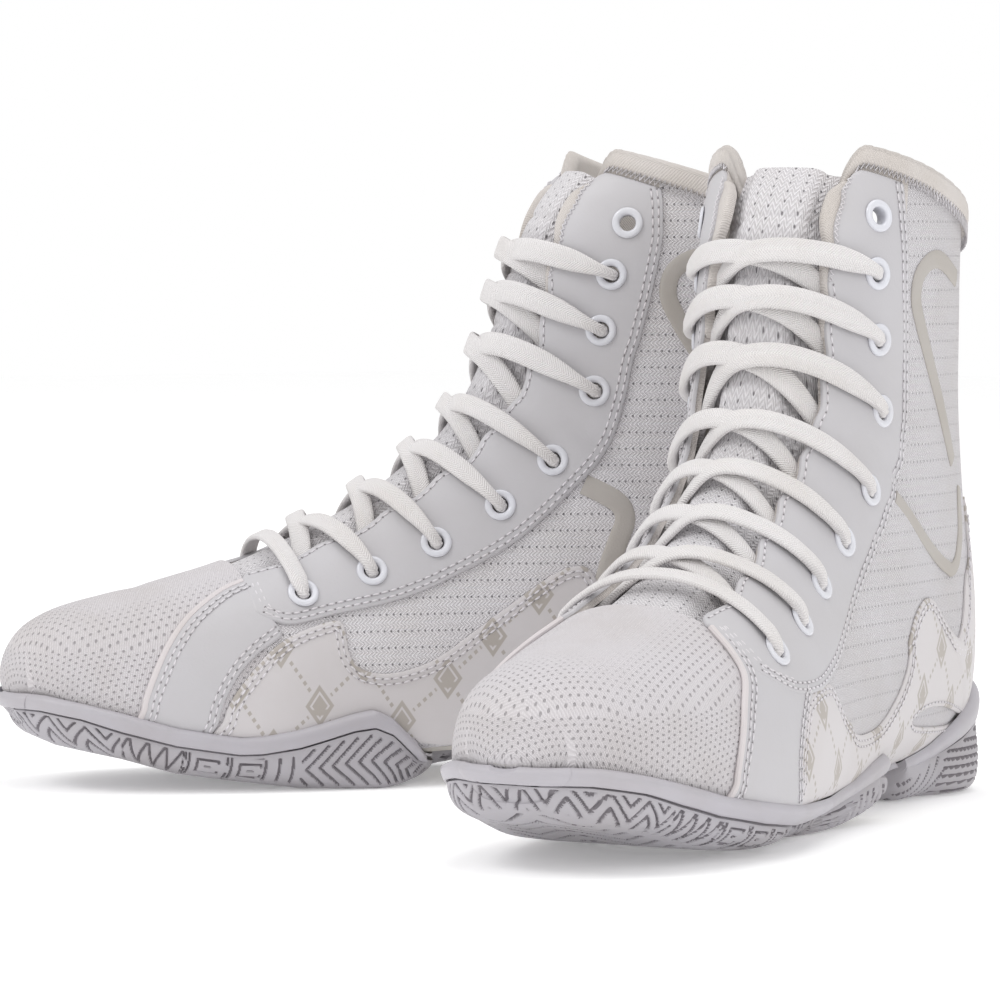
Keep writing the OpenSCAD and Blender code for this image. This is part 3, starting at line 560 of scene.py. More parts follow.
def shade(name, base, rough=.6, dark=None, build=None, depth=.25, sheen=0.0, spec=.35, coat=0.0, wear=.05,
          second=None):
    """Material whose build gives a mask of dark places, a height and maybe a second mask; depth in mm. For
    print the dark places are ink, for leather and rubber a tone that varies, for mesh, weaves and film
    painted shade in holes, gaps and pits; the second mask lays on a lighter tone as a painted highlight.
    """
    m = bpy.data.materials.new(name)
    m.use_nodes = True
    t = m.node_tree
    b = t.nodes["Principled BSDF"]
    b.inputs["Roughness"].default_value = rough
    b.inputs["Specular IOR Level"].default_value = spec
    b.inputs["Sheen Weight"].default_value = sheen
    b.inputs["Coat Weight"].default_value = coat
    uvn = t.nodes.new("ShaderNodeUVMap")
    uvn.uv_map = "mm"
    sep = t.nodes.new("ShaderNodeSeparateXYZ")
    t.links.new(uvn.outputs[0], sep.inputs[0])
    U, V = Value(t, sep.outputs[0]), Value(t, sep.outputs[1])
    vec = t.nodes.new("ShaderNodeTexCoord").outputs["Object"]
    mask, height, more = (build(U, V, vec, t) + (None,))[:3]
    soil = noise(t, vec, 28, 4, .6).step(.35, .75)

    def mix(a, b_, f):
        n = t.nodes.new("ShaderNodeMix")
        n.data_type = "RGBA"
        for sock, x in ((n.inputs["A"], a), (n.inputs["B"], b_)):
            if isinstance(x, tuple):
                sock.default_value = (*x, 1)
            else:
                t.links.new(x, sock)
        t.links.new(f.v, n.inputs["Factor"])
        return n.outputs["Result"]
    col = mix(base, tuple(c*(1-wear*k) for c, k in zip(base, (1.6, 1.9, 2.4))), soil)
    # the second tone: a painted highlight on the crests of the mesh's yarns and ribs
    if more is not None:
        col = mix(col, second, more)
    if mask is not None:
        col = mix(col, dark, mask)
    t.links.new(col, b.inputs["Base Color"])
    if height is not None:
        n = t.nodes.new("ShaderNodeBump")
        n.inputs["Distance"].default_value = depth/1000
        t.links.new(height.v, n.inputs["Height"])
        t.links.new(n.outputs[0], b.inputs["Normal"])
    return m


def quarter_mesh(U, V, vec, t):
    """Zigzag knit: slanted yarns, with a row of small holes at every second turn; the holes and the gaps
    between yarns are painted dark as shade, the yarn crests painted lighter as a highlight.
    """
    row = (V/5.2).floor()
    dx = ((U/2.25 + row.odd()*.5).fract() - .5)*2.25
    dy = ((V/5.2).fract() - .5)*5.2
    hole = ((dx*dx/.09 + dy*dy/.11).sqrt()).step(1.4, .5)*.85
    yarn = (U/1.25 + (V/2.6).tri()*1.2).tri()
    line = yarn.step(.15, .8)*(.55 + (V/.48).tri()*.45)
    # painted shade in the holes and yarn gaps, then the height, then a painted highlight on the yarn crests
    return hole.max((yarn.step(.42, .05))*.26), line*.8 - hole*1.1, line.step(.45, .95)*.8


# toe mesh: the holes and the gaps between ribs are painted dark as shade, the rib crests painted lighter as
# a highlight
def toe_mesh(U, V, vec, t):
    W = U.abs()
    row = (U/1.95).floor()
    dx = ((V/2.6 + row.odd()*.5).fract() - .5)*2.6
    dy = ((U/1.95).fract() - .5)*1.95
    open_ = W.step(9, 27).max(V.step(36, 12))*.94 + .06
    hole = ((dx*dx/.2 + dy*dy/.11).sqrt()).step(1.35, .5)*open_*.68
    rib = (V/.78 + W*.45).tri()*((U/.78).tri()*.5 + .5)
    return hole.max(rib.step(.45, .0)*.16), rib*.6 - hole*1.3, rib.step(.5, .95)*.5


def hide(U, V, vec, t):
    grain = cells(t, vec, 950).step(.0, .5)
    crease = noise(t, vec, 160, 5, .65)
    return crease.step(.62, .8)*.12, grain*.35 + crease*.8 + noise(t, vec, 45, 3)*1.2


def printed(U, V, vec, t):
    """Generic split diamonds on a slanted lattice, joined by dotted lines."""
    i, j = U*-.0414 + V*-.0282, U*.0291 + V*-.0342
    a, b = i.fract() - .5, j.fract() - .5
    x, y = a*-15.3 + b*12.6, a*-13.0 + b*-18.5
    d = x.abs()/4.9 + y.abs()/6.6
    gap_ = (d - .62).abs().step(.1, .06)*(y + 2.0).abs().step(.6, 1.2)
    motif = d.step(1.04, .96)*(gap_*-1 + 1)
    away = d.step(1.2, 1.35)
    da = a.abs().step(.034, .024)*(j*9.0).tri().step(.42, .56)
    db = b.abs().step(.03, .022)*(i*8.0).tri().step(.42, .56)
    ink = motif.max(da.max(db)*away)
    grain = cells(t, vec, 950).step(.0, .5)
    return ink*.92, grain*.35 + noise(t, vec, 45, 3)*1.1 - ink*.12


def twill(U, V, vec, t):
    w = ((U + V)/.9).tri()
    c = ((U - V)/.9).tri()
    # darker between the twill ribs, where the bump is low: painted shade
    return w.step(.45, .0)*.25, w*.7 + c*.3


def knit(U, V, vec, t):
    w = ((V + U.abs()*.8)/.85).tri()*((U/.62).tri()*.45 + .55)
    # darker between the knit's ribs, where the bump is low: painted shade
    return w.step(.42, .0)*.42, w


def rubber(U, V, vec, t):
    n = noise(t, vec, 900, 2)
    return noise(t, vec, 60, 4, .6).step(.6, .85)*.15, n*.5 + noise(t, vec, 120, 3)


def weld(U, V, vec, t):
    n = cells(t, vec, 1500)
    # darker in the pits of the cell bump: painted shade
    return n.step(.25, .1)*.15, n


def plain(U, V, vec, t):
    return noise(t, vec, 200, 3).step(.6, .9)*.1, noise(t, vec, 700, 2)


def tone(*rgb):
    """Linear colour from screen values."""
    return tuple(((v/255+.055)/1.055)**2.4 for v in rgb)


# quarter mesh: the dark tone is painted shade in the holes and between the yarns, the second tone a painted
# highlight on the yarn crests; the outer copy has paler painted shade and a darker base
MESH = shade("mesh_quarter", tone(221, 218, 221), .75, tone(108, 104, 108), quarter_mesh, .4, sheen=.1,
             second=tone(247, 245, 248))
MESH_OUT = shade("mesh_quarter_outer", tone(206, 203, 206), .75, tone(172, 168, 171), quarter_mesh, .4,
                 sheen=.1, second=tone(232, 230, 233))
# toe mesh: the dark tone is painted shade in the holes and between the ribs, the second tone a painted
# highlight on the rib crests
TOE = shade("mesh_toe", tone(207, 203, 206), .75, tone(138, 133, 136), toe_mesh, .4, sheen=.1,
            second=tone(236, 233, 236))
HIDE = shade("leather_white", tone(189, 187, 190), .42, tone(176, 174, 180), hide, .05, spec=.4, wear=.02)
PRINT = shade("leather_printed", tone(201, 197, 198), .45, tone(169, 162, 155), printed, .05, spec=.35,
              wear=.02)
FILM = shade("welded_film", tone(176, 171, 166), .5, tone(160, 155, 150), weld, .04, spec=.35)
TREAD = shade("rubber_tread", tone(174, 171, 176), .55, tone(168, 165, 168), rubber, .06, spec=.3)
# rubber in the tread's grooves and in the band's seam groove is painted darker: painted shade
GROOVE_SHADE = shade("rubber_groove_shade", tone(128, 124, 129), .7, tone(116, 112, 117), rubber, .06, spec=.2)
BAND = shade("rubber_band", tone(178, 175, 181), .42, tone(166, 163, 169), rubber, .04, spec=.4)
TWILL = shade("lining_twill", tone(208, 202, 198), .8, tone(172, 167, 162), twill, .2, sheen=.15)
SOCK = shade("sock_fabric", tone(202, 200, 200), .8, tone(150, 148, 148), twill, .2, sheen=.15)
LACE = shade("lace_weave", tone(229, 226, 226), .75, tone(186, 182, 182), knit, .25, sheen=.15)
SEAM = shade("thread", tone(214, 211, 215), .6, tone(196, 194, 198), plain, .05, sheen=.1)
# needle holes painted darker than the leather: painted shade in the holes
NEEDLE_SHADE = shade("needle_hole", tone(168, 164, 167), .9, tone(150, 146, 148), plain, .05, spec=.1)
ENAMEL = shade("eyelet_enamel", tone(214, 215, 222), .22, tone(200, 201, 208), plain, .02, spec=.5, coat=.3)
TAPE = shade("folded_edge", tone(208, 202, 203), .65, tone(185, 180, 182), twill, .08, sheen=.1)
BOARD = shade("insole_board", tone(200, 196, 190), .85, tone(180, 176, 170), plain, .1)
STIFF = shade("stiffener", tone(205, 202, 198), .7, tone(190, 186, 182), plain, .05)
AGLET = shade("aglet", tone(222, 222, 222), .3, tone(210, 210, 210), plain, .02, spec=.5)

# ---------------------------------------------------------------- upper: shells
def table(T):
    """Straight-line look-up in a list of pairs."""
    return lambda x: np.interp(x, [a for a, b in T], [b for a, b in T])


# angle where the upper's shells end under the sole, and the eyestays' inner and outer edges, by station
feather = table([(0,179.8),(.4,179.5),(.75,164),(1.1,145),(1.6,138),(9,138),(10,146),(10.6,158),(11.2,176),
                 (12,180),(16,180)])
stay_in = table([(5,27),(6,28),(8,29),(10,31),(12,31),(14,31),(15,29),(16,29)])
stay_out = table([(5,56),(6,58),(7,60),(8,62),(9,61),(10,60),(11,60),(12,62),(13,66),(14,68),(15,66),
                  (16,62)])
EYES_IN = [(e, -m) for e, l, m in EYELETS]
EYES_OUT = [(e, l) for e, l, m in EYELETS]

CLOTH = -1.8          # depth of the upper's cloth under its face
LEATHER = .12         # leather starts this far off the cloth

u = np.concatenate([[.012, .1, .2, .3], np.arange(.4, 4.86, .07), [4.9]])
Uv, Wv = grid(u, 121)
shell("vamp", Uv, Wv*feather(Uv), 0, CLOTH, (TOE, TWILL), "mesh", mode="top")

for medial, which in ((0, "lateral"), (1, "medial")):
    sign = -1 if medial else 1
    u = np.arange(4.9, 15.901, .1)
    Uq, Wq = np.meshgrid(u, np.linspace(0, 1, 70), indexing="ij")
    Tq = sign*((stay_out(Uq) - 3) + (feather(Uq) - .2 - stay_out(Uq) + 3)*Wq)
    shell("quarter_" + which, Uq, Tq, 0, CLOTH, (MESH if medial else MESH_OUT, TWILL), "mesh")


def skin(pc):
    """Flat places for both faces of a cut piece."""
    uv = uv_of(pc[0][:, 0], pc[0][:, 1], "side")
    return np.concatenate([uv, uv])


# eyestays: outer edges by side, the inner edge a little scalloped on the lower flap
OUT_L = [(4.95,57),(5.5,68),(6.2,72.5),(7,72),(7.8,70),(8.6,67),(9.5,65),(10.3,64),(11.2,64.5),(12.2,67),
         (13.1,69.5),(13.8,70),(14.5,67),(15.1,62),(15.62,57)]
OUT_M = [(4.95,52),(5.3,58),(5.9,59),(6.8,60.5),(7.8,61),(8.7,61),(9.8,60),(10.9,59.5),(11.9,60.5),
         (12.6,63),(13.2,66.5),(14,70),(14.8,69.5),(15.3,66),(15.62,62)]


def scallop(u):
    """How far the inner edge draws back beside each eyelet, more on the lower flap."""
    if u < 10:
        return 1.3*math.cos(2*math.pi*(u-5.6)/1.13)
    return .8*math.cos(2*math.pi*(u-11.7)/1.05)


def inner_edge():
    """The eyestay's edge along the throat, rounded at its top corner."""
    P = [(u, float(stay_in(u)) + scallop(u)) for u in np.arange(5.0, 15.6, .28)]
    return [(4.86, 29), (4.86, 29)] + P[:-1] + [(15.2, 30.2), (15.42, 31.6), (15.56, 34), (15.61, 38)]


for medial, which, OUT in ((0, "lateral", OUT_L), (1, "medial", OUT_M)):
    sign = -1 if medial else 1
    eyes = EYES_IN if medial else EYES_OUT
    holes = [disc(e, t, 3.0) for e, t in eyes]
    edge = inner_edge()
    outline = edge + [(15.62, OUT[-1][1])]*2 + OUT[::-1][1:] + [(4.86, OUT[0][1]-3)]*2
    top = cut(sided(outline, sign), holes, 2.0)
    A = csolid(top, 1.4, LEATHER, .9)
    # its backing cloth, a little smaller
    corner = [(15.4, 31.5), (15.66, 33.5), (15.82, 37), (15.88, 42)]
    outer = [(a, float(stay_out(a))-2.6) for a in (15.88, 15.88, *range(15, 5, -1), 5.3, 4.9, 4.9)]
    outline = [(4.9, 29.5), (4.9, 29.5)] + [(a, b+.6) for a, b in edge[2:-3]] + corner + outer
    low = cut(sided(outline, sign), holes, 2.8, rims=())
    B = csolid(low, .1, CLOTH, .1, keep=1)
    # the padded lining rolls out past the leather at the top of the throat
    show = table([(12,.2),(12.4,1),(13.3,2.4),(14.1,4.4),(14.8,7.6)])
    upper = [(a, b) for a, b in edge[2:-4] if a > 12]
    outline = [(a, b+1.4) for a, b in upper] + [(15.3, 32), (15.3, 29), (15.15, 26), (14.95, 23.5)]
    outline += [(a, b-float(show(a))) for a, b in upper[::-1] if a < 14.8]
    roll = cut(sided(outline, sign), (), 1.6)
    C = csolid(roll, .95, -2.3, 1.5)
    parts = []
    for pc, (V, *faces), m in ((top, A, 0), (low, B, 1), (roll, C, 1)):
        parts.append((V, faces, skin(pc), (m, m, m)))
    V, F, uv, fm = merge(parts)
    put("eyestay_" + which, V, F, uv, (HIDE, TWILL), fm, nodes=["eyestay_" + which], slot="leather")
    # stitching: single along the inner edge, double along the outer edge
    sew(sided([p for p in edge[2:-2] if p[0] < 13.2], sign), 1.42, inset=1.7*sign)
    # above that a zigzag overlock
    z = np.arange(13.2, 15.36, .055)
    ze = np.interp(z, *zip(*edge[2:-3])) + .9 + .75*np.where(np.arange(len(z)) % 2, 1, -1)
    ZIG.append(tube(lifted(z, sign*ze, 1.5), .3, 5))
    twin(sided(OUT, sign), 1.42, -1.5*sign, 1.9)

# strips from the throat down to the rubber: rolled front edge, double stitched both edges
LAT_F = [(4.87,31),(4.8,36),(4.72,44),(4.6,54),(4.25,66),(3.98,80),(3.78,95),(3.65,110),(3.6,118)]
LAT_B = [(5.35,118),(5.25,104),(5.25,92),(5.45,82),(5.75,75),(6.0,71),(5.6,67),(5.1,58),(4.95,46),(4.95,33)]
MED_F = [(4.87,30),(4.55,32),(4.2,38),(3.85,47),(3.5,62),(3.22,80),(3.05,95),(3.0,108),(3.0,118)]
MED_B = [(4.05,118),(4.02,104),(4.15,90),(4.45,76),(4.8,67),(5.15,61.5),(5.1,55),(4.97,46),(4.95,33)]
parts = []
for sign, FR, BK in ((1, LAT_F, LAT_B), (-1, MED_F, MED_B)):
    pc = cut(sided(FR + FR[-1:] + BK[:1] + BK, sign), (), 2.4)
    V, *faces = csolid(pc, 1.2, LEATHER, .9)
    parts.append((V, faces, skin(pc), (0, 0, 0)))
    # piped front edge
    f = np.array(sided(FR[:-1], sign))
    K = metric(*f.mean(0))
    f = spline(f*K, 1.5, False)/K
    v, faces = tube(lifted(f[:, 0], f[:, 1], .75), 1.05, 8, N=outward(f[:, 0], f[:, 1]), flat=.85)
    parts.append((v, faces, np.zeros((len(v), 2)), (1, 1)))
    twin(sided(FR[:-1], sign), 1.22, -2.4*sign)
    twin(sided(BK[1:6], sign), 1.22, -1.6*sign)
    twin([(a-.02, sign*b) for a, b in BK[6:]], 1.22, 1.0*sign)
V, F, uv, fm = merge(parts)
put("vamp_stay", V, F, uv, (HIDE, TAPE), fm, nodes=["vamp_stay"], slot="leather")

# printed saddles with their windows, laid low on each side
SAD_L = [(5.2,120),(5.15,96),(5.3,86),(5.5,79),(5.75,73),(6.1,71.5),(6.45,72),(6.7,74),(6.85,79),(7.05,86),
         (7.5,93),(8.2,97.5),(8.85,96),(9.3,92.5),(9.6,89),(9.9,87),(10.3,86.6),(10.55,89),(10.7,94),
         (10.85,101),
         (11.2,108),(11.2,150),(10.7,152),(9.8,150),(8.8,146),(7.9,140),(7,132),(6.4,122),(5.8,118)]
SAD_M = [(4.0,120),(4.05,100),(4.3,86),(4.6,76),(4.95,67),(5.3,62.5),(5.7,61),(5.98,62),(6.0,68),(5.98,74),
         (6.1,79.5),(6.45,82.3),(7.0,81.5),(7.6,78),(8.2,75.2),(8.8,73.4),(9.25,73.5),(9.5,76),(9.5,81),
         (9.45,88),(9.8,96),(10.5,101),
         (11.2,108),(11.2,150),(10.7,152),(9.8,150),(8.8,146),(7.9,140),(7,132),(6.4,116),(5.8,112),
         (4.9,116)]
WIN = [(9.25,112),(9.55,110.5),(9.95,114),(10.4,123),(10.65,131),(10.3,131),(9.8,124),(9.4,117.5)]
K = metric(9.9, 120)
window = spline(np.asarray(WIN, float)*K, 1.2)/K
for sign, SD, name in ((1, SAD_L, "saddle_lateral"), (-1, SAD_M, "saddle_medial")):
    pc = cut(sided(SD, sign), [window] if sign > 0 else (), 2.6)
    V, T, Bk, side = csolid(pc, 1.0, LEATHER, .8)
    put(name, V, [np.concatenate([T, Bk]), side], skin(pc), (PRINT,), None, nodes=[name],
        slot="printed_leather")
    twin(sided(SD[1:21], sign), 1.02, 1.7*sign)
    if sign > 0:
        sew(WIN + WIN[:1], 1.02, inset=-1.5)

# heel counter over the back, its wings meeting the saddles
us = np.concatenate([np.arange(10.6, 13.11, .09), [13.12]])
A, Wc = grid(us, 131)
lim = 180 - (100 + 26*ease((A-11.5)/1.55) - 8*ease((10.9-A)/.3))
Tc = 180 + Wc*lim
d = np.minimum((13.12-A)*30, np.minimum((A-10.6)*14, (1-np.abs(Wc))*lim*.62))
k = np.clip(1-d/.9, 0, 1)
face = LEATHER + 1.12*(.5 + .5*np.sqrt(1-k*k))
shell("heel_counter", A, Tc, face, LEATHER, (PRINT,), "printed_leather")
edge = [(10.95, 101), (11.3, 101.5), (11.7, 101.5), (12.1, 105), (12.5, 111), (12.9, 122), (13.03, 135),
        (13.05, 150), (13.05, 166)]
for sign in (1, -1):
    twin(sided(edge, sign), 1.26, 1.3*sign)

# pull strip up the back
BS = [(12.35,168.5),(13,169),(13.6,169.5),(14.0,170),(14.22,172),(14.36,176),(14.4,180),(14.36,184),
      (14.22,188),(14.0,190),(13.6,190.5),(13,191),(12.35,191.5)]
pc = cut(BS, (), 2.0)
over = .3 + 1.15*(1-ease((pc[0][:, 0]-13.0)/.25))
V, T, Bk, side = csolid(pc, over + .95, over - .12, .8)
put("backstay", V, [np.concatenate([T, Bk]), side], skin(pc), (HIDE,), None, nodes=["backstay"],
    slot="leather")
sew([(12.5, 171), (13.2, 171.5), (13.9, 172.5), (14.2, 176), (14.25, 180), (14.2, 184), (13.9, 187.5),
     (13.2, 188.5), (12.5, 189)], 1.3)

# welded stripes
ARCH = [(15.05,103),(15.02,97),(15.0,91),(14.93,85),(14.75,79.5),(14.45,75.5),(14.1,75.5),(13.85,79.5),
        (13.6,85),(13.35,90.5),(13.1,95.5),(12.9,100)]
VEE = [(10.75,65),(10.9,72),(11.0,79),(11.12,85),(11.3,90),(11.6,93.5),(12.0,97),(12.4,101),(12.8,106.5)]
HOOK = [(10.28,60.5),(10.42,65),(10.5,69),(10.4,72.2),(10.12,74.8),(9.82,77.8),(9.58,80.8),(9.4,83)]


# the stripe's section: places across it from -1 to 1, and heights
STRIPE = [(-1, .1), (-1, .35), (-.88, .6), (-.4, .62), (0, .63), (.4, .62), (.88, .6), (1, .35), (1, .1),
          (0, .02)]


def stripe(path, sign, w):
    """Raised stripe of half width w: points, faces, whether they were turned over, flat places."""
    P = np.array(sided(path, sign), float)
    K = metric(*P.mean(0))
    c = spline(P*K, 1.6, False)/K
    X, N = lifted(c[:, 0], c[:, 1], 0), outward(c[:, 0], c[:, 1])
    s = unit(np.cross(unit(np.gradient(X, axis=0)), N))
    n, k = len(c), len(STRIPE)
    q = np.stack([X + s*w*x + N*(h - (w*x)**2/75) for x, h in STRIPE], 1).reshape(-1, 3)
    F = ring_faces(n, k)
    turned = against(q, F[3], N[0])
    t = np.repeat(np.arange(n)*1.6, k)
    return q, F[:, ::-1] if turned else F, turned, np.stack([np.tile(np.linspace(-w, w, k), n), t], -1)


parts = []
fan = np.array([[9, j, j+1] for j in range(8)])
for P, sign, w in ((ARCH, 1, 2.8), (VEE, 1, 2.2), (ARCH, -1, 2.8), (HOOK, -1, 3.3)):
    q, F, turned, uv = stripe(P, sign, w)
    parts.append((q, [F], uv, (0,)))
    parts.append((q[:10], [fan[:, ::-1] if turned else fan], uv[:10], (0,)))
    parts.append((q[-10:], [fan if turned else fan[:, ::-1]], uv[-10:], (0,)))
V, F, uv, fm = merge(parts)
put("film", V, F, uv, (FILM,), None, nodes=["film"], slot="film")

# ---------------------------------------------------------------- collar, lining, tongue, insole
th = np.concatenate([np.linspace(23, 40, 18), np.linspace(43, 317, 110), np.linspace(320, 337, 18)])
N = outward(np.full_like(th, 15.8), th)
low_o = lifted(np.full_like(th, 15.74), th, 1.5, False)
low_i = lifted(np.full_like(th, 15.69), th, -4.6, False)
topc = lifted(np.full_like(th, 15.9), th, -.9, False) + [0, 0, 2.9]


def drop(t):
    """How far the binding sinks towards its ends, which rounds off the front corners."""
    return 13*np.clip((38-np.minimum(t, 360-t))/15, 0, 1)**2


end = np.sqrt(1-(1-np.clip((np.minimum(th, 360-th)-22.6)/3.5, 0, 1))**2)[:, None]
for P in (low_o, low_i, topc):
    P[:, 2] -= drop(th)
UP = np.array([0, 0, 1])
prof = [topc + end*(N*math.cos(a)*2.8 + UP*math.sin(a)*2.3) for a in np.arange(15)*math.pi/14]
side_o = [low_o + (prof[0]-low_o)*t + N*(.5*math.sin(math.pi*t)) for t in (0, .25, .5, .75)]
side_i = [prof[-1] + (low_i-prof[-1])*t for t in (.3, .65, 1)]
A = np.stack(side_o + prof + side_i, 1)
n, kk = A.shape[:2]
# puckers where the thread pulls the twill in
wob = .22*np.sin(np.arange(n)*2.1)[:, None]*np.sin(np.linspace(0, math.pi, kk))[None]
A = A + N[:, None]*wob[..., None]
F = ring_faces(n, kk)
fan = np.array([[0, j, j+1] for j in range(1, kk-1)])
fans = np.concatenate([fan, fan[:, [0, 2, 1]] + (n-1)*kk])
arc = np.concatenate([[0], np.cumsum(np.linalg.norm(np.diff(topc, axis=0), axis=1))])
uv = np.stack(np.broadcast_arrays(arc[:, None], np.linspace(0, 16, kk)[None]), -1).reshape(-1, 2)
V = A.reshape(-1, 3)
f = F[kk*20+6]
if against(V, f, V[f[0]] - A[20].mean(0)):
    F, fans = F[:, ::-1], fans[:, ::-1]
put("collar_binding", V, [fans, F], uv, (TWILL,), None, nodes=["collar_binding"], slot="lining", angle=60)

# zigzag overlock holding the binding to the leather
z = np.arange(32, 328.1, 1.15)
zu = 15.7 + .075*np.where(np.arange(len(z)) % 2, 1, -1)
ZP = lifted(zu, z, 1.75, False)
ZP[:, 2] -= drop(z)
for s0 in range(0, len(z)-1, 40):
    ZIG.append(tube(ZP[s0:s0+41], .3, 5))

# padded lining: crowned panels between sewn channels
Ul, Wl = grid(np.linspace(11.75, 15.82, 60), 121)
half = 180 - (74 - 8*ease((Ul-14.9)/.4))
Tl = 180 + Wl*half
ch = np.exp(-((Wl*half)/4)**2) + np.exp(-((np.abs(Wl*half)-52)/4)**2)
rowc = np.exp(-((Ul-13.35)/.1)**2)*.5
edge_ = np.clip(np.minimum((1-np.abs(Wl))*14, np.minimum((Ul-11.75)*2.2, 1)), 0, 1)
thick = 2.6*np.sqrt(edge_) - 1.2*ch*edge_ - 1.0*rowc*edge_
inner = -3.5 - np.maximum(thick, .1)*np.where(Ul > 12, 1, .6)
shell("collar_lining", Ul, Tl, -3.3, inner, (TWILL,), "lining", soft=False, angle=60)

# tongue: mesh outside over foam, bound round its edge, three sewn channels across
Ut, Wt = grid(np.linspace(4.6, 15.7, 156), 49)
w = 39*np.where(Ut > 15.2, 1-.28*((Ut-15.2)/.5)**2, 1)
Tt = Wt*w
ed = np.clip(np.minimum((1-np.abs(Wt))*w*.6/2.4, np.minimum((15.7-Ut)*30/2.4, (Ut-4.6)*18/2.4)), 0, 1)
rnd = np.sqrt(1-(1-ed)**2)
tongue_o = -5.3 + 3*(1-ease((np.abs(Tt)-12)/14)) - 1.4*np.clip((5.05-Ut)/.45, 0, 1)
chn = sum(.7*np.exp(-((Ut-c)/.07)**2) for c in (11.6, 13.0, 14.4))
chn = chn + .5*np.exp(-((np.abs(Tt)-20)/1.6)**2)*(Ut > 10.8)
mid = -6.3
top_ = mid + (tongue_o-.1-mid)*rnd - chn*rnd
shell("tongue", Ut, Tt, top_, mid - .75*rnd - .02, (MESH, TWILL), "mesh", mode="top", soft=False, swap=True,
      body="tongue_body", angle=60)

# loose insole: dished foam with a fabric top and a raised edge
Us, Ws = grid(np.linspace(1.0, 10.8, 110), 41)
fh = 180 - np.where(Us < 9.8, 150, 150 + 22*(Us-9.8))
Ts = 180 + Ws*fh
ed = np.clip(np.minimum((1-np.abs(Ws))*fh*.6/2, np.minimum((Us-1.0)*9, (10.8-Us)*9)), 0, 1)
rnd = np.sqrt(1-(1-ed)**2)
shell("sockliner", Us, Ts, -3.05, -3.2 - 3.4*rnd, (SOCK,), "sock_fabric", mode="top", soft=False,
      body="sockliner_body", angle=60)

# ---------------------------------------------------------------- rubber
# heights by the distance from the heel's end, for the outer and the inner side: the band's top edge, the
# seam between band and tread, the tread's floor; and the station where the front unit ends, by angle
RIM = (table([(-20,40),(0,38),(17,34),(40,25),(60,16),(85,9),(98,10),(104,13),(110,18),(117,20),(130,17.5),
              (145,13.5),(169,11.3),(202,13),(222,15.8),(245,19.6),(262,24.4),(274,27.5),(285,29.8),
              (300,30)]),
       table([(-20,40),(0,38),(17,34),(40,25),(60,16),(85,9),(158,9),(164,11.5),(170,17.5),(175,22.6),
              (181,25.2),(188,24),(206,19.4),(218,17.3),(225,16.8),(245,20),(262,25),(274,28),(285,30),
              (300,30)]))
JOIN = (table([(-20,30),(0,28),(17,24),(40,17),(60,10),(85,6),(96,6.5),(103,9),(110,12.5),(117,13.8),
               (130,11.6),(145,7.8),(169,6),(202,7.5),(222,10),(245,14.2),(262,18.8),(274,22.6),(285,25),
               (300,25.5)]),
        table([(-20,30),(0,28),(17,24),(40,17),(60,10),(85,6),(158,6),(164,7.5),(170,12.2),(175,16.6),
               (181,19),(188,18.2),(206,13.4),(218,11.6),(225,11.5),(245,14.5),(262,19),(274,23),
               (285,25.2),(300,25.5)]))
ground = table([(-20,6),(0,5),(14,0),(96,0),(106,3),(118,0),(203,0),(224,2.4),(242,5),(258,9.5),(278,14),
                (287,18),(291,21),(294,24)])
stop_fore = table([(90,9.42),(118,9.4),(135,8.9),(150,7.9),(175,7.05),(210,6.75),(240,6.58),(270,6.52)])
SIDE_T, BAND_T = 3.6, 2.2      # how far the rubber and the band's inner part stand off the last


def find(u, medial, T):
    """Angle, at each station, where the side comes down to the heights T."""
    a, b = np.full_like(u, 60.), np.full_like(u, 147.)
    for _ in range(14):
        c = (a+b)/2
        p = lifted(u, 360-c if medial else c, SIDE_T, False)
        over = p[..., 2] > T(145-p[..., 1])
        a, b = np.where(over, c, a), np.where(over, b, c)
    return (a+b)/2


def flare(P, N):
    """How far the rubber stands out from the last near the ground, most at the rear of each unit."""
    a, x, z = 145-P[..., 1], P[..., 0], P[..., 2]
    med = x < 0
    top_ = np.where(med, RIM[1](a), RIM[0](a)) + 1
    w = np.clip((top_-z)/top_, 0, 1)
    outer = 6.0*bump(a, 98, 30) + 1.5*bump(a, 150, 40) + 6.5*np.clip((75-a)/40, 0, 1)
    F = np.where(med, 1.5*bump(a, 165, 20) + 2.5*np.clip((70-a)/40, 0, 1), outer)
    return N*[1, 1, 0]*(F*w)[..., None]


def groove(d, w):
    """1 inside a line of half width w, d away from its middle."""
    return np.clip((w-d)/.35 + .5, 0, 1)


def every(x, p):
    """Distance from the nearest of a row of lines p apart."""
    return np.abs((x/p) % 1 - .5)*p


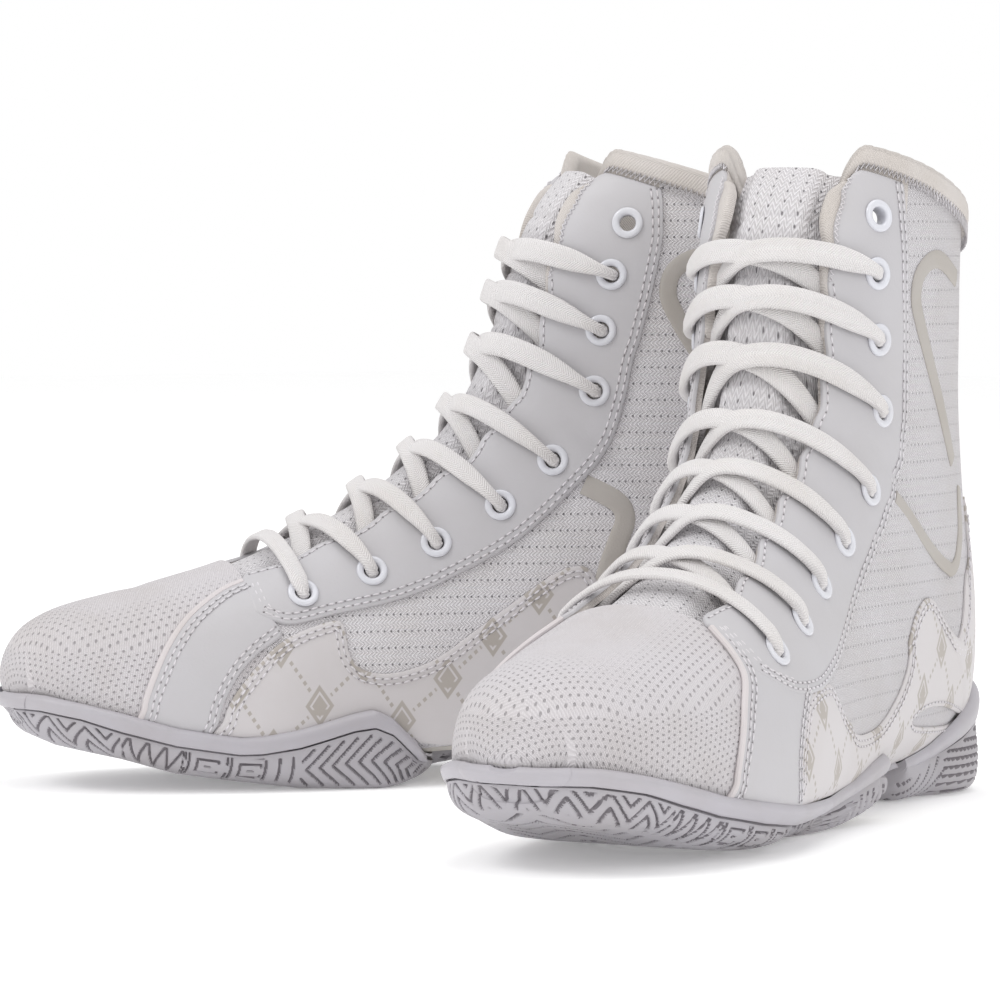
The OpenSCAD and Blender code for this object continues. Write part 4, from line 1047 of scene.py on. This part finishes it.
def side_cut(P, heel):
    """Depth, 0 to 1, of the side wall's grooves at points, by distance round the toe and by height."""
    a, x = 145 - P[..., 1], P[..., 0]
    med = x < 0
    q = np.where(a > 240, 44*np.arctan2(np.abs(x), a-240), 44*math.pi/2 + 240 - a)
    g = ground(a)
    H = np.maximum(np.where(med, JOIN[1](a), JOIN[0](a)) - g, 3)
    z = P[..., 2] - g
    h = z/H
    tri_ = lambda v: np.abs(v - np.floor(v) - .5)*2
    if heel:
        rib = groove(every(z, 2.7), .36)
        bar = groove(every(a*.9 + z*.55, 5.2), .4)
        m = np.where(a < 44, rib, bar)
        return m*(h > .06)*(h < .93)
    inside_ = (h > .07)*(h < .9)
    wave = groove(every(z - 6.2*tri_(q/11), 3.9)*.66, .3)*inside_
    c = (q/6.6) % 1
    nn = np.maximum(groove(np.abs(c-.02)*6.6, .36), groove(np.abs(c-1)*6.6, .36))
    nn = np.maximum(nn, groove(np.abs(c - h)*6.6*.75, .34))*inside_
    cx = np.abs((q/13.5) % 1 - .5)*13.5
    ringd = np.maximum(cx, np.abs(h-.48)*H*1.25 + .6)
    key = groove(every(ringd + .8, 2.75), .33)
    key = key*(1 - ((q/13.5) % 1 > .5)*(np.abs(h-.48)*H < 1.2)*(cx > 2))*inside_
    bars = groove(every(q, 4.3), .36)*(h > .14)*(h < .86)
    chev = groove(every(q - np.abs(h-.48)*H*1.05, 4.3)*.72, .36)*inside_
    lat = np.select([q < 43, q < 66, q < 148, q < 172], [wave, nn, key, bars], bars)
    mdl = np.select([q < 43, q < 66, q < 92, q < 104], [wave, nn, key, bars], chev)
    return np.where(med, mdl, lat)


def floor_cut(P, heel):
    """The same for the flat bottom: slanted zigzag grooves, with rings under the ball of the foot."""
    a, x = 145-P[..., 1], P[..., 0]
    m = groove(every(a*.9 + every(x + 13, 26)*.9, 7.5), .8)
    if not heel:
        r = np.hypot(x-1, a-200)
        m = np.where(r < 22, groove(every(r, 5.5), .7), m*(np.abs(r-22) > .9) + (np.abs(r-22) <= .9))
    return m


def run(s, th, heel, lo):
    """Stations of the places s along a unit; the front one goes from lo to its end at that angle."""
    return s + 0*th if heel else lo + (stop_fore(th)-lo)*s


def edges(s, T, heel, lo, d):
    """Edge angles of each row, both sides, on the outline given by heights T."""
    out = []
    for medial in (0, 1):
        e = np.full_like(s, 120.)
        for _ in range(5):
            e = find(run(s, 360-e if medial else e, heel, lo), medial, T[medial])
        e = np.convolve(np.pad(e, 2, mode="edge"), np.ones(5)/5, "valid")
        out.append(360-e-d if medial else e+d)
    return out


def tread(heel):
    """A bowl whose grooved wall falls from the seam as a quarter of an ellipse to the flat bottom."""
    lo, D = .72, 11.0           # the front unit's first station, and how far in the wall's curve reaches
    turn = np.linspace(0, np.pi/2, 48)
    if heel:
        m = np.linalg.norm(last(11.6, 180.) - last(11.3, 180.))/.3
        s = np.concatenate([np.linspace(9.5, 11.62 - D/m, 100, endpoint=False),
                            11.62 - (D/m)*(1-np.cos(turn[::-1]))])
        Vf = np.concatenate([np.ones(100), np.sin(turn[::-1])])
    else:
        m = np.linalg.norm(last(1.6, 180.) - last(.8, 180.))/.8*8.2
        s = np.concatenate([(D/m)*(1-np.cos(turn)), np.linspace(D/m, 1, 331)[1:]])
        Vf = np.concatenate([np.sin(turn), np.ones(330)])
    a_, b_ = edges(s, JOIN, heel, lo, 1.0)
    ua, ub = run(s, a_, heel, lo), run(s, b_, heel, lo)
    ma = np.linalg.norm(last(ua, a_+4) - last(ua, a_), axis=-1)/4
    mb = np.linalg.norm(last(ub, b_) - last(ub, b_-4), axis=-1)/4
    room = (b_-a_)*.42
    ra, rb = np.minimum(D/np.maximum(ma, .2), room), np.minimum(D/np.maximum(mb, .2), room)
    fall = 1-np.cos(turn)
    nb = 64
    flat = (a_+ra)[:, None] + ((b_-rb)-(a_+ra))[:, None]*np.linspace(0, 1, nb+2)[None, 1:-1]
    T = np.concatenate([a_[:, None] + ra[:, None]*fall, flat, b_[:, None] - rb[:, None]*fall[::-1]], 1)
    Vs = np.concatenate([np.sin(turn), np.ones(nb), np.sin(turn[::-1])])
    V = Vf[:, None]*Vs[None]
    U = run(s[:, None], T, heel, lo)
    N = outward(U, T)
    q = lifted(U, T, SIDE_T, False)
    a = 145-q[..., 1]
    gz = ground(a)
    mx = np.clip(.5 - q[..., 0]/12, 0, 1)
    zE = JOIN[0](a)*(1-mx) + JOIN[1](a)*mx
    edge_z = np.where(np.arange(T.shape[1])[None] < T.shape[1]//2, q[:, :1, 2], q[:, -1:, 2])
    if heel:
        zE = edge_z*(1-ease((s-11.0)/.4))[:, None] + zE*ease((s-11.0)/.4)[:, None]
    z = np.maximum(zE*(1-V) + gz*V, gz)
    top_ = lifted(U, T, BAND_T + .6, False)
    top_[..., 2] = np.maximum(top_[..., 2], gz + 1.4)
    grade = np.clip((s-9.5)/.3, 0, 1) if heel else np.clip((1-s)/.09, 0, 1)
    rnd = np.sqrt(np.maximum(1-(1-grade)**2, 0))[:, None]
    z = top_[..., 2] + (z-top_[..., 2])*np.where(z < top_[..., 2], rnd, 1)
    P = np.stack([q[..., 0], q[..., 1], z], -1)
    P = P + flare(P, N)
    cut_ = np.where(V > .985, floor_cut(P, heel), side_cut(P, heel)*(V < .95))
    cut_[:, :2] = cut_[:, -2:] = 0
    if heel:
        cut_[:3] = cut_[-2:] = 0
    else:
        cut_[:2] = cut_[-4:] = 0
    level = unit(N*[1, 1, 0] + [0, -1e-6, 0])*np.sqrt(np.maximum(1-V*V, 0))[..., None]
    out_dir = unit(level + np.stack([0*V, 0*V, -V], -1))
    P = P - out_dir*(cut_*np.where(V > .985, 1.3, .8))[..., None]
    # faces deep in the grooves take the darker rubber, painted shade
    finish_unit("outsole", heel, P, top_, cut_, N, (TREAD, GROOVE_SHADE))


def band(heel):
    """Smooth band over the tread, its edge rolled over the upper; its inner part hides under the tread."""
    s = np.linspace(9.5, 11.95, 110) if heel else np.linspace(0, 1, 300)**1.35
    lo = .28
    ra, rb = edges(s, RIM, heel, lo, 0)
    sa, sb = edges(s, JOIN, heel, lo, 0)
    t1 = np.linspace(0, 1, 18)[None]
    w = np.maximum(sb-sa-16, 4)[:, None]
    mid = ((sa+sb)/2)[:, None]
    under = np.array([[2.2, 3.4, 5.0]])
    T = np.concatenate([ra[:, None] + (sa+1.2-ra)[:, None]*t1, sa[:, None] + under,
                        mid - w/2 + w*np.linspace(0, 1, 30)[None],
                        sb[:, None] - under[:, ::-1], rb[:, None] + (sb-1.2-rb)[:, None]*t1[:, ::-1]], 1)
    U = run(s[:, None], T, heel, lo)
    q = lifted(U, T, SIDE_T, False)
    a = 145-q[..., 1]
    medial = q[..., 0] < 0
    zr, zj = np.where(medial, RIM[1](a), RIM[0](a)), np.where(medial, JOIN[1](a), JOIN[0](a))
    v = np.clip((zr-q[..., 2])/np.maximum(zr-zj, 1), 0, 3)
    far = np.minimum(np.abs(T-T[:, :1]), np.abs(T-T[:, -1:])) > 32
    v = np.where(far, np.maximum(v, 1.5 if heel else 1.5*(s[:, None] > .05)), v)
    o = 1.6 + 2.3*np.sqrt(1-(1-np.clip(v/.45, 0, 1))**2) - 1.5*np.exp(-((v-1.0)/.085)**2)
    o = np.where(v > 1.07, BAND_T - .9*ease((v-1.1)/.5), o)
    out = lifted(U, T, o, False)
    out[..., 2] = np.maximum(out[..., 2], ground(145-out[..., 1]) + 1.2)
    out = out + flare(out, outward(U, T))*(v < 1.07)[..., None]
    inn = lifted(U, T, np.where(v < 1.1, 1.2, .6), False)
    # the band's seam groove takes the darker rubber: painted shade
    finish_unit("midsole", heel, out, inn, ((v > .94)*(v < 1.12)).astype(float), outward(U, T),
                (BAND, GROOVE_SHADE))


def finish_unit(part, heel, out, inn, mask, N, mats):
    """Closes a unit between its outer and inner points; mask picks the second material, the darker rubber
    painted as shade in grooves.
    """
    q, side = grid_faces(*out.shape[:2])
    n = out[..., 0].size
    F = np.concatenate([q, q[:, ::-1]+n, side])
    V = np.concatenate([out.reshape(-1, 3), inn.reshape(-1, 3)])
    f = q[len(q)//3]
    if against(V, f, N.reshape(-1, 3)[f[0]]):
        F = F[:, ::-1]
    fm = np.concatenate([(mask.ravel()[q].mean(1) > .4).astype(int), np.zeros(len(q)+len(side), int)])
    name = part + ("_heel" if heel else "_fore")
    slot = "tread_rubber" if part == "outsole" else "band_rubber"
    put(name, V, [F], None, mats, fm, nodes=[name], slot=slot, angle=35)


for heel in (False, True):
    tread(heel)
    band(heel)

# ---------------------------------------------------------------- eyelets and laces
# the eyelet's section: radius and height
FLANGE = [(2.6,-2.3),(3.15,-2.3),(3.15,1.3),(4.5,1.42),(4.98,1.6),(5.0,1.85),(4.8,2.2),(4.35,2.45),
          (3.75,2.5),(3.2,2.38),(2.8,2.05),(2.62,1.6),(2.6,.5)]
R = np.array(FLANGE)
w = 40
a = np.linspace(0, 2*np.pi, w, endpoint=False)
parts = []
for ue, te in EYES_OUT + EYES_IN:
    p, n = lifted(np.array(ue), np.array(te), 0), outward(np.array(ue), np.array(te))
    xx = unit(np.cross([0, 0, 1], n))
    yy = np.cross(n, xx)
    turn = np.cos(a)[None, :, None]*xx + np.sin(a)[None, :, None]*yy
    q = (p + R[:, None, 0:1]*turn + R[:, None, 1:2]*n).reshape(-1, 3)
    F = ring_faces(len(R), w, True)
    if against(q, F[3*w], n):
        F = F[:, ::-1]
    parts.append((q, [F], np.zeros((len(q), 2)), (0,)))
V, F, uv, fm = merge(parts)
put("eyelets", V, F, uv, (ENAMEL,), None, nodes=["eyelets"], slot="eyelet_enamel", angle=50)

# lace: its radius at the eyelets, and its half width and half thickness where it lies flat
LR, LW, LH = 1.8, 3.8, .95


def cross_run(i, medial):
    """The lace from eyelet i across to the other side's next one: station, angle, height, half sizes."""
    a, b, s = EYELETS[i], EYELETS[i+1], -1 if medial else 1
    ta, tb = s*(a[2] if medial else a[1]), -s*(b[1] if medial else b[2])
    up_, fl = 2.1 if medial else 0, .86 if i < 4 else 1
    out = []
    for q, o, w in ((.14,-3.2,.85),(.34,-.9,1),(.5,1.05,1),(.7,2.6,1),(.86,3.4,.95),(.96,3.5,.65)):
        o = o + (up_ if .35 < q < .65 else 0)
        size = (LR+(LW*fl-LR)*(w-.6)/.4, LH+(LR-LH)*(1-w)/.4)
        out.append((a[0]+(b[0]-a[0])*q, ta+(tb-ta)*q, o, *size))
    return out


def dive(i, medial):
    """Down through eyelet i."""
    t = (-1 if medial else 1)*(EYELETS[i][2] if medial else EYELETS[i][1])
    return [(EYELETS[i][0], t, 1.4, LR, LR), (EYELETS[i][0], t, -2.2, LR, LR)]


def strand(i, medial):
    """The lace from eyelet i up to the last but one, crossing over at each."""
    return [] if i == 7 else dive(i, medial) + cross_run(i, medial) + strand(i+1, not medial)


first = EYELETS[0]
bar = [(first[0]-.02, (first[2] if q < 0 else first[1])*q, o, LW*.75, LH)
       for q, o in ((-.9,3.4),(-.8,3.2),(-.6,2.8),(-.3,2.6),(0,2.6),(.3,2.6),(.6,2.8),(.8,3.2),(.9,3.4))]
PATH = [(13.9, 54, -3.4, LR, LR)] + dive(7, False)[::-1] + strand(0, True)[::-1] + bar
PATH += strand(0, False) + dive(7, True) + [(13.9, -54, -3.4, LR, LR)]
TAIL = [(13.9,54,-3.4),(13.82,55,-5.4),(13.6,58,-7.4),(13.2,62,-8.4),(12.7,66,-8.6),(12.2,70,-8.6),
        (11.7,74,-8.6),(11.2,78,-8.6),(10.7,81,-8.6),(10.2,84,-8.6),(9.8,86,-8.6)]


def ribbon(Q, soft, sub=9, k=16):
    """Flat lace through the places Q: points, faces, flat places, its middle line and its length."""
    Q = np.asarray(Q, float)
    K = np.array([22, .62, 1, 1, 1])
    c = []
    n = len(Q)
    g = lambda j: (Q*K)[min(max(j, 0), n-1)]
    for i in range(n-1):
        p0, p1, p2, p3 = g(i-1), g(i), g(i+1), g(i+2)
        # centripetal spacing keeps close points from looping
        d = [max(np.linalg.norm(y-x)**.5, 1e-4) for x, y in ((p0, p1), (p1, p2), (p2, p3))]
        m1 = (p2-p1)/d[1] - (p2-p0)/(d[0]+d[1]) + (p1-p0)/d[0]
        m2 = (p3-p2)/d[2] - (p3-p1)/(d[1]+d[2]) + (p2-p1)/d[1]
        m1, m2 = m1*d[1], m2*d[1]
        t = (np.arange(sub)/sub)[:, None]
        c.append((2*t**3-3*t*t+1)*p1 + (t**3-2*t*t+t)*m1 + (-2*t**3+3*t*t)*p2 + (t**3-t*t)*m2)
    c.append(g(n-1)[None])
    c = np.concatenate(c)/K
    P, N = lifted(c[:, 0], c[:, 1], c[:, 2], soft), outward(c[:, 0], c[:, 1])
    for _ in range(2):
        P[1:-1] = (P[:-2] + 2*P[1:-1] + P[2:])/4
    n = len(P)
    T = unit(np.gradient(P, axis=0))
    w_ = 14
    pad = np.pad(P, ((w_, w_), (0, 0)), mode="edge")
    D = pad[2*w_:] - pad[:n]
    D = D - (D*N).sum(1, keepdims=True)*N
    G = unit(np.cross(N, D))
    for j in range(1, n):
        if G[j] @ G[j-1] < 0:
            G[j] = -G[j]
    for _ in range(6):
        G[1:-1] = unit(G[:-2] + G[1:-1] + G[2:])
    G = unit(G - (G*T).sum(1, keepdims=True)*T)
    B = np.cross(T, G)
    a = np.linspace(0, 2*np.pi, k, endpoint=False)
    ca, sa = (np.sign(f(a))*np.abs(f(a))**.75 for f in (np.cos, np.sin))
    w, h = c[:, 3:4], c[:, 4:5]
    V = P[:, None] + (w*ca)[..., None]*G[:, None] + (h*sa*(1+.18*np.abs(ca)))[..., None]*B[:, None]
    L = np.concatenate([[0], np.cumsum(np.linalg.norm(np.diff(P, axis=0), axis=1))])
    uv = np.stack([w*ca, np.broadcast_to(L[:, None], (n, k))], -1).reshape(-1, 2)
    q = V.reshape(-1, 3)
    F, end = ring_faces(n, k), np.arange(k)[None]
    if against(q, F[3], q[F[3]].mean(0)-P[0]):
        return q, [F[:, ::-1], end, end[:, ::-1] + (n-1)*k], uv, P, L[-1]
    return q, [F, end[:, ::-1], end + (n-1)*k], uv, P, L[-1]


q, faces, uv, P, lace_len = ribbon(PATH, True)
put("lace", q, faces, uv, (LACE,), None, nodes=["lace"], slot="lace", angle=70)
for name, sign in (("lace_end_lateral", 1), ("lace_end_medial", -1)):
    Q = [(a, sign*b, c, LR if c > -4 else LW*.75, LR if c > -4 else LH) for a, b, c in TAIL]
    q, faces, uv, P, L = ribbon(Q, False)
    put(name, q, faces, uv, (LACE,), None, nodes=["lace_ends"], slot="lace", angle=70)

# ---------------------------------------------------------------- thread, needle holes, overlock
def copies(faces, count, step):
    """The faces of one small shape, repeated for each of its copies, step points apart."""
    faces = np.asarray(faces)
    return (faces[None] + (np.arange(count)*step)[:, None, None]).reshape(-1, faces.shape[1])


T = np.array(THREAD)
sides = ring_faces(len(BEAD), 6)
q4 = copies(sides, len(T), 30)
q6 = copies([[5, 4, 3, 2, 1, 0], [24, 25, 26, 27, 28, 29]], len(T), 30)
if against(T[0], sides[1], T[0][sides[1]].mean(0)-T[0].mean(0)):
    q4, q6 = q4[:, ::-1], q6[:, ::-1]
V, quads, tris = T.reshape(-1, 3), [q4], []
for v, (long, ends) in ZIG:
    quads.append(long+len(V))
    tris.append(ends+len(V))
    V = np.concatenate([V, v])
put("stitching", V, [np.concatenate(quads), q6, np.concatenate(tris)], None, (SEAM,), None, slot="leather",
    angle=0)
# needle hole dimples, coloured darker as painted shade
H = np.array(HOLE)
h6 = copies([[0, 1, 2, 3, 4, 5]], len(H), 7)
h3 = copies([[(j+1) % 6, j, 6] for j in range(6)], len(H), 7)
a, b, d = H[0][:3]
if np.cross(b-a, d-a) @ (H[0][:6].mean(0)-H[0][6]) < 0:
    h6, h3 = h6[:, ::-1], h3[:, ::-1]
put("needle_holes", H.reshape(-1, 3), [h6, h3], None, (NEEDLE_SHADE,), None, slot="leather", angle=0)
# toe_puff under the mesh
Ut, Wt = grid(np.linspace(.02, 2.35, 50), 80)
Tt = Wt*(feather(Ut) - 8)
V, F, fm = gsolid(Ut, Tt, -2.0, -2.8)
put("toe_puff", V, [F], None, (STIFF,), None, nodes=["toe_puff"], slot="stiffener")

# ---------------------------------------------------------------- carried-over CAD nodes
CARRIED = {"insole_board": BOARD, "heel_stiffener": STIFF, "shank": BAND, "aglets": AGLET}
for name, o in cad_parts.items():
    m = CARRIED.get(name.split("_", 1)[1])
    if m:
        for slot in o.material_slots:
            slot.material = m
        if not len(o.material_slots):
            o.data.materials.append(m)

# ---------------------------------------------------------------- floor
me = bpy.data.meshes.new("floor")
me.from_pydata([(-4, -4, 0), (4, -4, 0), (4, 4, 0), (-4, 4, 0)], [], [(0, 1, 2, 3)])
ground_plane = bpy.data.objects.new("floor", me)
SC.collection.objects.link(ground_plane)
white = bpy.data.materials.new("floor_white")
white.use_nodes = True
for key, v in (("Base Color", (.95, .95, .95, 1)), ("Roughness", .9), ("Specular IOR Level", .1),
               ("Emission Color", (1, 1, 1, 1)), ("Emission Strength", .22)):
    white.node_tree.nodes["Principled BSDF"].inputs[key].default_value = v
me.materials.append(white)
